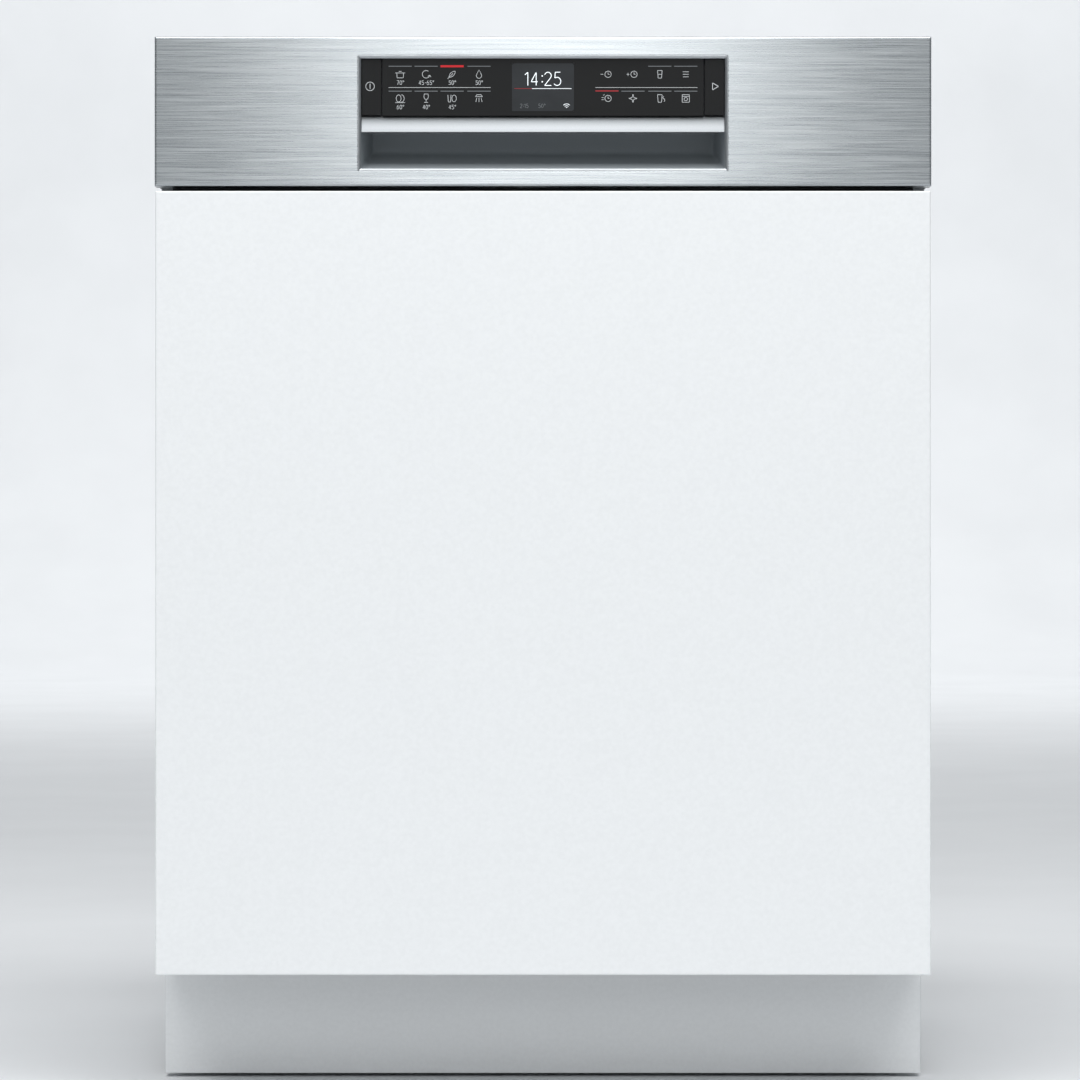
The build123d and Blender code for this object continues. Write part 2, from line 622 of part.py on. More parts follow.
def raised_field(shift):
    """The bevelled field, tapering toward the tub."""
    rise = FIELD_BACK - LINER_FRONT
    with BuildPart() as field_block:
        with BuildSketch(Plane(origin=(0, LINER_FRONT + shift, FIELD_MID), x_dir=(1, 0, 0), z_dir=(0, 1, 0))):
            RectangleRounded(2 * FIELD_HALF, FIELD_HIGH - FIELD_LOW, LINER_BEVEL * 2)
        extrude(amount=rise, taper=degrees(atan2(LINER_BEVEL, rise)))
    return field_block.part


field_outside = raised_field(0)
field_inside = raised_field(-SHEET)
with BuildPart() as door_liner:
    block((-PAN_HALF, PAN_HALF), (LINER_FRONT, LINER_BACK), (PAN_BOTTOM, LINER_TOP))
    add(field_outside)
    add(field_inside, mode=Mode.SUBTRACT)
    with BuildSketch(front_plane(FIELD_BACK)):
        with Locations((DISPENSER_X, DISPENSER_Z)):
            Rectangle(*DISPENSER_SIZE)
    extrude(amount=LINER_RELIEF, mode=Mode.SUBTRACT)

# Dispenser set into the liner, with the detergent cup
DISPENSER_FACE = FIELD_BACK + DISPENSER_FLANGE
CUP_X = DISPENSER_X - DISPENSER_WIDTH / 2 + CUP_WIDTH / 2 + LID_LAP + 2 * LID_RIB + RUNNING_GAP
CUP_Z = DISPENSER_Z - DISPENSER_HEIGHT / 2 + CUP_HEIGHT / 2 + LID_LAP + 2 * LID_RIB
CAP_X = (CUP_X + CUP_WIDTH / 2 + LID_LAP + LID_RIB + DISPENSER_X + DISPENSER_WIDTH / 2) / 2 + LID_RIB / 2
CAP_Z = DISPENSER_Z
LID_TRAVEL = CUP_HEIGHT + LID_LAP
LID_HALF = CUP_WIDTH / 2 + LID_LAP
with BuildPart() as dispenser_body:
    with BuildSketch(front_plane(DISPENSER_FACE)):
        with Locations((DISPENSER_X, DISPENSER_Z)):
            Rectangle(DISPENSER_WIDTH + 2 * DISPENSER_LAP, DISPENSER_HEIGHT + 2 * DISPENSER_LAP)
    extrude(amount=DISPENSER_FLANGE)
    with BuildSketch(front_plane(FIELD_BACK)):
        with Locations((DISPENSER_X, DISPENSER_Z)):
            Rectangle(DISPENSER_WIDTH - 2 * SEAT_GAP, DISPENSER_HEIGHT - 2 * SEAT_GAP)
    extrude(amount=DISPENSER_DEPTH - DISPENSER_FLANGE)
    with BuildSketch(front_plane(DISPENSER_FACE)):
        with Locations((CUP_X, CUP_Z)):
            Rectangle(CUP_WIDTH, CUP_HEIGHT)
    extrude(amount=CUP_DEPTH, mode=Mode.SUBTRACT)
    with BuildSketch(front_plane(DISPENSER_FACE)):
        with Locations((CAP_X, CAP_Z)):
            Circle(CAP_PLUG_RADIUS + FIT)
    extrude(amount=CAP_PLUG_LENGTH + RUNNING_GAP, mode=Mode.SUBTRACT)
    for side in (-1, 1):
        x = CUP_X + side * (LID_HALF + RUNNING_GAP + LID_RIB / 2)
        block((x - LID_RIB / 2, x + LID_RIB / 2), (DISPENSER_FACE, DISPENSER_FACE + LID_THICKNESS),
              (CUP_Z - LID_HALF, DISPENSER_Z + DISPENSER_HEIGHT / 2))

# Sliding lid over the cup
with BuildPart() as dispenser_lid:
    LID_FACE = DISPENSER_FACE + RUNNING_GAP
    LID_HEIGHT_HALF = CUP_HEIGHT / 2 + LID_LAP
    block((CUP_X - LID_HALF, CUP_X + LID_HALF), (LID_FACE, LID_FACE + LID_THICKNESS),
          (CUP_Z - LID_HEIGHT_HALF, CUP_Z + LID_HEIGHT_HALF))
    block((CUP_X - LID_HALF / 2, CUP_X + LID_HALF / 2), (LID_FACE, LID_FACE + LID_THICKNESS + LID_GRIP / 2),
          (CUP_Z - LID_GRIP / 2, CUP_Z + LID_GRIP / 2))

# Rinse-aid cap, a quarter turn with a grip bar
with BuildPart() as rinse_cap:
    with BuildSketch(Plane(origin=(CAP_X, DISPENSER_FACE + RUNNING_GAP, CAP_Z), x_dir=(1, 0, 0), z_dir=(0, 1, 0))):
        drum(CAP_RADIUS)
    extrude(amount=CAP_HEIGHT / 2)
    with BuildSketch(Plane(origin=(CAP_X, DISPENSER_FACE + RUNNING_GAP, CAP_Z), x_dir=(1, 0, 0), z_dir=(0, 1, 0))):
        Rectangle(CAP_RADIUS * 1.5, CAP_BAR)
    extrude(amount=CAP_HEIGHT)
    with BuildSketch(Plane(origin=(CAP_X, DISPENSER_FACE + RUNNING_GAP, CAP_Z), x_dir=(1, 0, 0), z_dir=(0, 1, 0))):
        Circle(CAP_PLUG_RADIUS)
    extrude(amount=-CAP_PLUG_LENGTH)

# Door lock under the top of the control housing
LOCK_TOP = HOUSING_TOP - MOULDING_WALL
LOCK_BACK = LINER_FRONT - SEAT_GAP
LOCK_FRONT = LOCK_BACK - LOCK_DEPTH
SLOT_TOP = LOCK_TOP - MOULDING_WALL
SLOT_LOW = SLOT_TOP - LOCK_SLOT_HEIGHT
TONGUE_TOP = HEIGHT - STRIKE_DROP
TONGUE_LOW = TONGUE_TOP - STRIKE_PLATE
LEVER_Y = LOCK_FRONT + MOULDING_WALL + 3 * LEVER_PIN
LEVER_Z = SLOT_LOW - 1.5 * LEVER_PIN
HOOK_FRONT = LEVER_Y + LEVER_PIN
HOOK_LOW = TONGUE_LOW - STRIKE_HOOK
with BuildPart() as latch_housing:
    block((-LOCK_WIDTH / 2, LOCK_WIDTH / 2), (LOCK_FRONT, LOCK_BACK), (LOCK_TOP - LOCK_HEIGHT, LOCK_TOP))
    block((-LOCK_SLOT_WIDTH / 2, LOCK_SLOT_WIDTH / 2), (LOCK_FRONT + MOULDING_WALL, LOCK_BACK), (SLOT_LOW, SLOT_TOP),
          mode=Mode.SUBTRACT)
    block((-LEVER_WIDTH / 2 - RUNNING_GAP, LEVER_WIDTH / 2 + RUNNING_GAP),
          (LOCK_FRONT + MOULDING_WALL, LOCK_BACK - MOULDING_WALL), (LOCK_TOP - LOCK_HEIGHT, SLOT_LOW),
          mode=Mode.SUBTRACT)
    with BuildSketch(Plane.YZ.offset(-LEVER_WIDTH / 2 - 2 * MOULDING_WALL)):
        with Locations((LEVER_Y, LEVER_Z)):
            Circle(LEVER_PIN)
    extrude(amount=LEVER_WIDTH + 4 * MOULDING_WALL)

# Lever that holds the hook of the strike
with BuildPart() as latch_lever:
    with BuildSketch(Plane.YZ.offset(-LEVER_WIDTH / 2)):
        nose_low = HOOK_FRONT + STRIKE_PLATE + RUNNING_GAP
        with BuildLine():
            Polyline((LEVER_Y - 2 * LEVER_PIN, LEVER_Z - 2 * LEVER_PIN), (nose_low + LEVER_NOSE, LEVER_Z - 2 * LEVER_PIN),
                     (nose_low + LEVER_NOSE, LEVER_Z + 2 * LEVER_PIN),
                     (nose_low + LEVER_NOSE - LEVER_NOSE_BEVEL, HOOK_LOW + STRIKE_HOOK / 2),
                     (nose_low, HOOK_LOW + STRIKE_HOOK / 2), (nose_low, SLOT_LOW),
                     (LEVER_Y - 2 * LEVER_PIN, SLOT_LOW), (LEVER_Y - 2 * LEVER_PIN, LEVER_Z - 2 * LEVER_PIN))
        make_face()
        with Locations((LEVER_Y, LEVER_Z)):
            Circle(LEVER_PIN + FIT, mode=Mode.SUBTRACT)
    extrude(amount=LEVER_WIDTH)

# Strike on the tub flange, a tongue with a hooked end
with BuildPart() as door_strike:
    block((-STRIKE_WIDTH, STRIKE_WIDTH), (TUB_FRONT - STRIKE_PLATE, TUB_FRONT), (TONGUE_LOW - STRIKE_PLATE / 3, FLANGE_TOP))
    block((-STRIKE_WIDTH / 2, STRIKE_WIDTH / 2), (HOOK_FRONT, TUB_FRONT), (TONGUE_LOW, TONGUE_TOP))
    block((-STRIKE_WIDTH / 2, STRIKE_WIDTH / 2), (HOOK_FRONT, HOOK_FRONT + STRIKE_PLATE), (HOOK_LOW, TONGUE_LOW))

# Hinge arms on the door, each with an eye round its pin
with BuildPart() as hinge_arms:
    with BuildSketch(Plane.YZ.offset(PAN_HALF)):
        arm_y = LINER_FRONT - HINGE_ARM_WIDTH / 2
        with Locations((arm_y, HINGE_Z)):
            Rectangle(HINGE_ARM_WIDTH, HINGE_ARM_LENGTH, align=(Align.CENTER, Align.MIN))
        with Locations((HINGE_Y, HINGE_Z)):
            RegularPolygon(HINGE_EYE, 10)
            Circle(PIN_RADIUS + FIT, mode=Mode.SUBTRACT)
    extrude(amount=HINGE_PLATE)
    mirror(about=Plane.YZ)

# Hinge brackets on the base, each with the pin that carries the door
BRACKET_OUTER = INNER_HALF - BASE_WALL
BRACKET_INNER = BRACKET_OUTER - HINGE_PLATE
BASE_Y = FRONT + BASE_FRONT
with BuildPart() as hinge_brackets:
    with BuildSketch(Plane.YZ.offset(BRACKET_INNER)):
        with BuildLine():
            Polyline((HINGE_Y, HINGE_Z - HINGE_EYE), (BASE_Y + BRACKET_LENGTH, HINGE_Z - HINGE_EYE),
                     (BASE_Y + BRACKET_LENGTH, HINGE_Z - HINGE_EYE + BRACKET_HEIGHT),
                     (BASE_Y, HINGE_Z - HINGE_EYE + BRACKET_HEIGHT), (HINGE_Y, HINGE_Z + HINGE_EYE),
                     (HINGE_Y - HINGE_EYE, HINGE_Z + HINGE_EYE / 2), (HINGE_Y - HINGE_EYE, HINGE_Z - HINGE_EYE / 2),
                     (HINGE_Y, HINGE_Z - HINGE_EYE))
        make_face()
    extrude(amount=HINGE_PLATE)
    with BuildSketch(Plane.YZ.offset(PAN_HALF + RUNNING_GAP)):
        with Locations((HINGE_Y, HINGE_Z)):
            Circle(PIN_RADIUS)
    extrude(amount=BRACKET_INNER - PAN_HALF - RUNNING_GAP)
    mirror(about=Plane.YZ)

# Screws in the sides of the pan, above the hinge arms
with BuildPart() as door_screws:
    with BuildSketch(Plane.YZ.offset(PAN_HALF)):
        for z in spread(HINGE_Z + HINGE_ARM_LENGTH + SCREW_INSET * 4, HOUSING_BOTTOM - SCREW_INSET * 4, SCREW_COUNT):
            with Locations((LINER_FRONT - SCREW_INSET, z)):
                RegularPolygon(SCREW_RADIUS, 6)
    extrude(amount=SCREW_HEIGHT)
    mirror(about=Plane.YZ)

# Tub wrapper: both side walls and the ceiling in one sheet, with the front flange
with BuildPart() as tub_wrapper:
    with BuildSketch(front_plane(TUB_REAR)):
        with BuildSketch(mode=Mode.PRIVATE) as inside:
            with Locations((0, BASE_TOP)):
                Rectangle(2 * TUB_HALF, TUB_CEILING - BASE_TOP, align=(Align.CENTER, Align.MIN))
            fillet(inside.vertices().group_by(Axis.Y)[-1], TUB_CORNER)
        with BuildSketch(mode=Mode.PRIVATE) as outside:
            with Locations((0, BASE_TOP)):
                Rectangle(2 * TUB_OUTER_HALF, TUB_TOP - BASE_TOP, align=(Align.CENTER, Align.MIN))
            fillet(outside.vertices().group_by(Axis.Y)[-1], TUB_CORNER + TUB_SHEET)
        add(outside.sketch)
        add(inside.sketch, mode=Mode.SUBTRACT)
    extrude(amount=TUB_REAR - TUB_FRONT)
    with BuildSketch(front_plane(TUB_FRONT + TUB_SHEET)):
        with Locations((0, BASE_TOP)):
            Rectangle(2 * INNER_HALF, FLANGE_TOP - BASE_TOP, align=(Align.CENTER, Align.MIN))
        add(inside.sketch, mode=Mode.SUBTRACT)
    extrude(amount=TUB_SHEET)

# Back wall of the tub
with BuildPart() as tub_back:
    with BuildSketch(front_plane(TUB_REAR + TUB_SHEET)):
        add(outside.sketch)
    extrude(amount=TUB_SHEET)

# Tub floor: wheel tracks round a sunken pan, with the sump and salt openings
PAN_X = TUB_HALF - TRACK_WIDTH
PAN_Y = (TUB_REAR - TUB_FRONT) / 2 - TRACK_ENDS
FLAT_X = PAN_X - FLOOR_SLOPE_RUN
FLAT_Y = PAN_Y - FLOOR_SLOPE_RUN
SALT_X = SALT_SIDE_GAP + SALT_CAP_RADIUS - FLAT_X
SALT_TANK_FRONT = BASE_Y + SALT_FRONT_GAP - TUB_MID
SALT_TANK_BACK = -SUMP_BODY / 2 - SALT_SUMP_GAP
SALT_TANK_DEPTH = SALT_TANK_BACK - SALT_TANK_FRONT
SALT_Y = (SALT_TANK_FRONT + SALT_TANK_BACK) / 2


def sunken_pan(level):
    """The pan, tapering down from the tracks: one sloped profile across and one along."""
    low = level - PAN_DROP
    with BuildPart() as pan:
        with BuildSketch(Plane.XZ.offset(-TUB_MID)):
            Polygon((-PAN_X, level), (-FLAT_X, low), (FLAT_X, low), (PAN_X, level), align=None)
        extrude(amount=PAN_Y, both=True)
        with BuildSketch(Plane.YZ):
            Polygon((TUB_MID - PAN_Y, level), (TUB_MID - FLAT_Y, low), (TUB_MID + FLAT_Y, low),
                    (TUB_MID + PAN_Y, level), align=None)
        extrude(amount=PAN_X, both=True, mode=Mode.INTERSECT)
    return pan.part


pan_outside = sunken_pan(BASE_TOP)
pan_inside = sunken_pan(TUB_RIM)
with BuildPart() as tub_floor:
    block((-TUB_HALF, TUB_HALF), (TUB_FRONT, TUB_REAR), (BASE_TOP, TUB_RIM))
    block((-TUB_HALF, TUB_HALF), (TUB_FRONT, TUB_FRONT + TUB_SHEET), (TUB_RIM - FLOOR_LIP, TUB_RIM))
    add(pan_outside)
    add(pan_inside, mode=Mode.SUBTRACT)
    with BuildSketch(Plane(origin=(0, TUB_MID, FLOOR_LEVEL))) as floor_holes:
        Rectangle(SUMP_HOLE, SUMP_HOLE)
        chamfer(floor_holes.vertices(), SUMP_CORNER)
        with Locations((SALT_X, SALT_Y)):
            drum(SALT_NECK + RUNNING_GAP)
    extrude(amount=-2 * TUB_SHEET, mode=Mode.SUBTRACT)

# Gasket round the tub opening, and a straight seal along its lower lip
with BuildPart() as door_gasket:
    near = TUB_HALF + GASKET_INSET
    with BuildSketch(front_plane(TUB_FRONT)):
        with Locations((0, TUB_RIM)):
            Rectangle(2 * (near + GASKET_WIDTH), TUB_CEILING - TUB_RIM + GASKET_INSET + GASKET_WIDTH,
                      align=(Align.CENTER, Align.MIN))
            Rectangle(2 * near, TUB_CEILING - TUB_RIM + GASKET_INSET, align=(Align.CENTER, Align.MIN),
                      mode=Mode.SUBTRACT)
    extrude(amount=GASKET)
    block((-TUB_HALF, TUB_HALF), (TUB_FRONT - GASKET, TUB_FRONT), (TUB_RIM - FLOOR_LIP, TUB_RIM - FLOOR_LIP / 3))

# Side panels and rear panel
with BuildPart() as side_panel_left:
    block((-HALF, -INNER_HALF), (TUB_FRONT, BACK - SHEET), (BASE_FLOOR, HEIGHT - SIDE_PANEL_DROP))
    block((-HALF, -INNER_HALF), (TUB_FRONT, BASE_Y), (BASE_FLOOR, BASE_TOP), mode=Mode.SUBTRACT)

with BuildPart() as side_panel_right:
    add(mirror(side_panel_left.part, about=Plane.YZ, mode=Mode.PRIVATE))

with BuildPart() as rear_panel:
    block((-HALF, HALF), (BACK - SHEET, BACK), (BASE_TOP, HEIGHT - SIDE_PANEL_DROP))

# Crossbar over the tub front, with the screw holes for the worktop
CROSSBAR_FRONT = TUB_FRONT + TUB_SHEET
with BuildPart() as top_crossbar:
    with BuildSketch(Plane.YZ.offset(-INNER_HALF)):
        with BuildLine():
            Polyline((CROSSBAR_FRONT, TUB_TOP), (CROSSBAR_FRONT, HEIGHT), (CROSSBAR_FRONT + CROSSBAR_DEPTH, HEIGHT),
                     (CROSSBAR_FRONT + CROSSBAR_DEPTH, TUB_TOP),
                     (CROSSBAR_FRONT + CROSSBAR_DEPTH - TUB_SHEET, TUB_TOP),
                     (CROSSBAR_FRONT + CROSSBAR_DEPTH - TUB_SHEET, HEIGHT - TUB_SHEET),
                     (CROSSBAR_FRONT + TUB_SHEET, HEIGHT - TUB_SHEET), (CROSSBAR_FRONT + TUB_SHEET, TUB_TOP),
                     (CROSSBAR_FRONT, TUB_TOP))
        make_face()
    extrude(amount=2 * INNER_HALF)
    with BuildSketch(Plane(origin=(0, CROSSBAR_FRONT + WORKTOP_HOLE_BACK, HEIGHT))):
        with GridLocations(WORKTOP_HOLE_SPACING, 1, 2, 1):
            Circle(WORKTOP_HOLE_RADIUS)
    extrude(amount=-2 * TUB_SHEET, mode=Mode.SUBTRACT)

# Sound mat on the tub ceiling
with BuildPart() as sound_mat:
    block((-TUB_HALF + TUB_CORNER, TUB_HALF - TUB_CORNER), (CROSSBAR_FRONT + CROSSBAR_DEPTH, TUB_REAR),
          (TUB_TOP, TUB_TOP + MAT_THICKNESS))

# Base tray: floor, side walls with ledges under the tub, rear wall and foot bosses
BASE_BACK = BACK - BASE_REAR
FLOOR_PLATE_TOP = BASE_FLOOR + BASE_FLOOR_PLATE
FOOT_X = HALF - FOOT_SIDE
FRONT_FOOT_Y = FRONT + FOOT_FRONT
REAR_FOOT_Y = BACK - FOOT_REAR
FOOT_PLACES = ((-FOOT_X, FRONT_FOOT_Y), (FOOT_X, FRONT_FOOT_Y), (0, REAR_FOOT_Y))
PORT_Z = PORT_HEIGHT
with BuildPart() as base_tray:
    with BuildSketch(front_plane(BASE_BACK)):
        with Locations((0, BASE_FLOOR)):
            Rectangle(2 * INNER_HALF, BASE_TOP - BASE_FLOOR, align=(Align.CENTER, Align.MIN))
        with Locations((0, FLOOR_PLATE_TOP)):
            Rectangle(2 * (INNER_HALF - BASE_WALL), BASE_TOP - BASE_WALL - FLOOR_PLATE_TOP,
                      align=(Align.CENTER, Align.MIN), mode=Mode.SUBTRACT)
            Rectangle(2 * (INNER_HALF - BASE_LEDGE), BASE_TOP - FLOOR_PLATE_TOP, align=(Align.CENTER, Align.MIN),
                      mode=Mode.SUBTRACT)
    extrude(amount=BASE_BACK - BASE_Y)
    block((-INNER_HALF, INNER_HALF), (BASE_BACK - BASE_WALL, BASE_BACK), (BASE_FLOOR, BASE_TOP - PAN_DROP * 1.5))
    with BuildSketch(Plane.XY.offset(BASE_FLOOR)):
        with Locations(*FOOT_PLACES):
            Rectangle(2 * FOOT_BOSS, 2 * FOOT_BOSS)
    extrude(amount=FOOT_BOSS_HEIGHT)
    with BuildSketch(Plane.XY.offset(BASE_FLOOR)):
        with Locations(*FOOT_PLACES):
            drum(FOOT_STEM + RUNNING_GAP)
    extrude(amount=FOOT_BOSS_HEIGHT, mode=Mode.SUBTRACT)
    with BuildSketch(front_plane(BASE_BACK)):
        with Locations((VALVE_X, PORT_Z)):
            drum(INLET_RADIUS + INLET_COLLAR + SEAT_GAP)
    extrude(amount=BASE_WALL, mode=Mode.SUBTRACT)


# Feet, each a pad on a stem that screws into its boss
def foot(place):
    with BuildPart() as piece:
        with BuildSketch(Plane(origin=(place[0], place[1], 0))):
            RegularPolygon(FOOT_RADIUS, 6)
        extrude(amount=FOOT_PAD)
        with BuildSketch(Plane(origin=(place[0], place[1], FOOT_PAD))):
            drum(FOOT_STEM)
        extrude(amount=FOOT_STEM_LENGTH)
    return piece


foot_front_left = foot(FOOT_PLACES[0])
foot_front_right = foot(FOOT_PLACES[1])
foot_rear = foot(FOOT_PLACES[2])

# Plinth board in front of the base
with BuildPart() as plinth_board:
    block((-FURNITURE_WIDTH / 2, FURNITURE_WIDTH / 2), (BASE_Y - PLINTH_THICKNESS, BASE_Y),
          (PLINTH_CLEARANCE, PLINTH_TOP))

# Sump under the tub floor, with the hub of the lower spray arm and two spigots
SUMP_TOP = FLOOR_LEVEL - TUB_SHEET
SPIGOT_Z = SUMP_BOTTOM + VOLUTE_RADIUS / 2
SPIGOT_END = SUMP_BODY / 2 + SPIGOT_REACH
ARM_LOW = TUB_RIM + ARM_RISE
SPIGOTS = ((1, SPIGOT_RADIUS), (-1, SPIGOT_RADIUS * 0.7))
with BuildPart() as sump:
    with BuildSketch(Plane(origin=(0, TUB_MID, SUMP_TOP))) as flange_outline:
        Rectangle(SUMP_HOLE + 2 * SUMP_FLANGE, SUMP_HOLE + 2 * SUMP_FLANGE)
        chamfer(flange_outline.vertices(), SUMP_CORNER)
    extrude(amount=-SUMP_WALL)
    with BuildSketch(Plane(origin=(0, TUB_MID, SUMP_BOTTOM))) as body_outline:
        Rectangle(SUMP_BODY, SUMP_BODY)
        chamfer(body_outline.vertices(), SUMP_CORNER)
    extrude(amount=SUMP_TOP - SUMP_BOTTOM)
    for side, radius in SPIGOTS:
        with BuildSketch(Plane(origin=(0, TUB_MID, SPIGOT_Z), x_dir=(0, 1, 0), z_dir=(side, 0, 0))):
            drum(radius)
        extrude(amount=SPIGOT_END)
    with BuildSketch(Plane(origin=(0, TUB_MID, SUMP_BOTTOM + SUMP_WALL))) as cavity_outline:
        Rectangle(SUMP_BODY - 2 * SUMP_WALL, SUMP_BODY - 2 * SUMP_WALL)
        chamfer(cavity_outline.vertices(), SUMP_CORNER - SUMP_WALL)
    extrude(amount=SUMP_TOP - SUMP_BOTTOM, mode=Mode.SUBTRACT)
    with BuildSketch(Plane(origin=(0, TUB_MID, SUMP_BOTTOM))):
        drum(HUB_RADIUS)
    extrude(amount=ARM_LOW - RUNNING_GAP - SUMP_BOTTOM)
    with BuildSketch(Plane(origin=(0, TUB_MID, ARM_LOW - RUNNING_GAP))):
        Circle(HUB_STEM)
    extrude(amount=ARM_THICKNESS + RUNNING_GAP)

# Flat filter over the sump opening
with BuildPart() as filter_plate:
    with BuildSketch(Plane(origin=(0, TUB_MID, FLOOR_LEVEL))) as plate_outline:
        Rectangle(SUMP_HOLE + 2 * FILTER_PLATE_LAP, SUMP_HOLE + 2 * FILTER_PLATE_LAP)
        chamfer(plate_outline.vertices(), SUMP_CORNER)
        drum(HUB_RADIUS + SEAT_GAP, mode=Mode.SUBTRACT)
        with Locations((FILTER_X, FILTER_Y)):
            Circle(FILTER_RADIUS + RUNNING_GAP, mode=Mode.SUBTRACT)
    extrude(amount=FILTER_PLATE)

# Filter cylinder that turns out of the sump, with a grip bar
FILTER_SEAT = FLOOR_LEVEL + FILTER_PLATE + RUNNING_GAP
with BuildPart() as filter_cylinder:
    with BuildSketch(Plane(origin=(FILTER_X, TUB_MID + FILTER_Y, FILTER_SEAT))):
        drum(FILTER_RADIUS + FILTER_FLANGE)
    extrude(amount=FILTER_FLANGE / 2)
    with BuildSketch(Plane(origin=(FILTER_X, TUB_MID + FILTER_Y, FILTER_SEAT))):
        Circle(FILTER_RADIUS)
    extrude(amount=-FILTER_DEPTH)
    with BuildSketch(Plane(origin=(FILTER_X, TUB_MID + FILTER_Y, FILTER_SEAT))):
        drum(FILTER_RADIUS - FILTER_FLANGE)
    extrude(amount=FILTER_FLANGE / 2, mode=Mode.SUBTRACT)
    with BuildSketch(Plane(origin=(FILTER_X, TUB_MID + FILTER_Y, FILTER_SEAT))):
        Rectangle(2 * FILTER_RADIUS, FILTER_FLANGE)
    extrude(amount=FILTER_FLANGE)


# Pumps on the spigots of the sump: a turned body on a rubber foot
def pump(side, length, radius, head_length, head_radius, neck):
    with BuildPart() as piece:
        plane = Plane(origin=(side * SPIGOT_END, TUB_MID, SPIGOT_Z), x_dir=(0, 1, 0), z_dir=(side, 0, 0))
        with BuildSketch(plane):
            drum(head_radius)
        extrude(amount=head_length)
        with BuildSketch(plane.offset(head_length)):
            drum(radius)
        extrude(amount=length)
        middle = side * (SPIGOT_END + head_length + length / 2)
        block((middle - PUMP_FOOT, middle + PUMP_FOOT), (TUB_MID - neck, TUB_MID + neck), (FLOOR_PLATE_TOP, SPIGOT_Z))
    return piece


circulation_pump = pump(1, PUMP_LENGTH, PUMP_RADIUS, VOLUTE_LENGTH, VOLUTE_RADIUS, PUMP_FOOT)
drain_pump = pump(-1, DRAIN_LENGTH, DRAIN_RADIUS, VOLUTE_LENGTH / 2, DRAIN_RADIUS * 1.2, PUMP_FOOT)

# Water softener in the base, its neck through the tub floor
with BuildPart() as softener:
    with BuildSketch(Plane(origin=(SALT_X, TUB_MID + SALT_Y, FLOOR_PLATE_TOP))) as tank_outline:
        Rectangle(SALT_TANK_WIDTH, SALT_TANK_DEPTH)
        chamfer(tank_outline.vertices(), SALT_NECK / 2)
    extrude(amount=SALT_TANK_HEIGHT)
    with BuildSketch(Plane(origin=(SALT_X, TUB_MID + SALT_Y, FLOOR_PLATE_TOP))):
        drum(SALT_NECK)
    extrude(amount=FLOOR_LEVEL + RUNNING_GAP - FLOOR_PLATE_TOP)

# Salt cap on the neck
with BuildPart() as salt_cap:
    SALT_SEAT = FLOOR_LEVEL + 2 * RUNNING_GAP
    with BuildSketch(Plane(origin=(SALT_X, TUB_MID + SALT_Y, SALT_SEAT))):
        drum(SALT_CAP_RADIUS)
    extrude(amount=SALT_CAP_HEIGHT / 2)
    with BuildSketch(Plane(origin=(SALT_X, TUB_MID + SALT_Y, SALT_SEAT))):
        Rectangle(SALT_CAP_RADIUS * 1.5, SALT_CAP_RADIUS / 4)
    extrude(amount=SALT_CAP_HEIGHT)

# Inlet valve in the base, its threaded stub through the rear wall
with BuildPart() as inlet_valve:
    block((VALVE_X - VALVE_SIZE / 2, VALVE_X + VALVE_SIZE / 2),
          (BASE_BACK - BASE_WALL - SEAT_GAP - VALVE_SIZE, BASE_BACK - BASE_WALL - SEAT_GAP),
          (FLOOR_PLATE_TOP, PORT_Z + VALVE_SIZE / 3))
    with BuildSketch(Plane(origin=(VALVE_X, BASE_BACK - BASE_WALL - SEAT_GAP, PORT_Z), x_dir=(-1, 0, 0),
                           z_dir=(0, 1, 0))):
        drum(INLET_RADIUS + INLET_COLLAR)
    extrude(amount=BASE_WALL + SEAT_GAP)
    with BuildSketch(Plane(origin=(VALVE_X, BASE_BACK, PORT_Z), x_dir=(-1, 0, 0), z_dir=(0, 1, 0))):
        Circle(INLET_RADIUS)
    extrude(amount=INLET_LENGTH)
    with BuildSketch(Plane(origin=(VALVE_X, BASE_BACK + INLET_LENGTH, PORT_Z), x_dir=(1, 0, 0), z_dir=(0, -1, 0))):
        Circle(INLET_BORE)
    extrude(amount=INLET_LENGTH, mode=Mode.SUBTRACT)

# Drain spigot and cable gland on the rear wall of the base
with BuildPart() as rear_ports:
    for x, outline, radius, bore, length in (
            (DRAIN_OUT_X, "round", DRAIN_OUT_RADIUS, DRAIN_OUT_BORE, DRAIN_OUT_LENGTH),
            (CABLE_X, "hexagon", CABLE_GLAND, CABLE_BORE, CABLE_GLAND_LENGTH)):
        with BuildSketch(Plane(origin=(x, BASE_BACK, PORT_Z), x_dir=(-1, 0, 0), z_dir=(0, 1, 0))):
            if outline == "round":
                Circle(radius)
            else:
                RegularPolygon(radius, 6)
            Circle(bore, mode=Mode.SUBTRACT)
        extrude(amount=length)

# Water duct up the tub back and along the ceiling
CEILING_DUCT_LOW = TUB_CEILING - SHOWER_HEIGHT
with BuildPart() as rear_duct:
    block((-DUCT_WIDTH / 2, DUCT_WIDTH / 2), (TUB_REAR - DUCT_DEPTH, TUB_REAR), (TUB_RIM + DUCT_RISE, TUB_CEILING))
    block((-CEILING_PIPE / 2, CEILING_PIPE / 2), (TUB_MID + SHOWER_RADIUS, TUB_REAR - DUCT_DEPTH),
          (CEILING_DUCT_LOW, TUB_CEILING))

# Fixed shower head under the ceiling
with BuildPart() as ceiling_shower:
    with BuildSketch(Plane(origin=(0, TUB_MID, TUB_CEILING))):
        drum(SHOWER_RADIUS)
    extrude(amount=-SHOWER_HEIGHT)

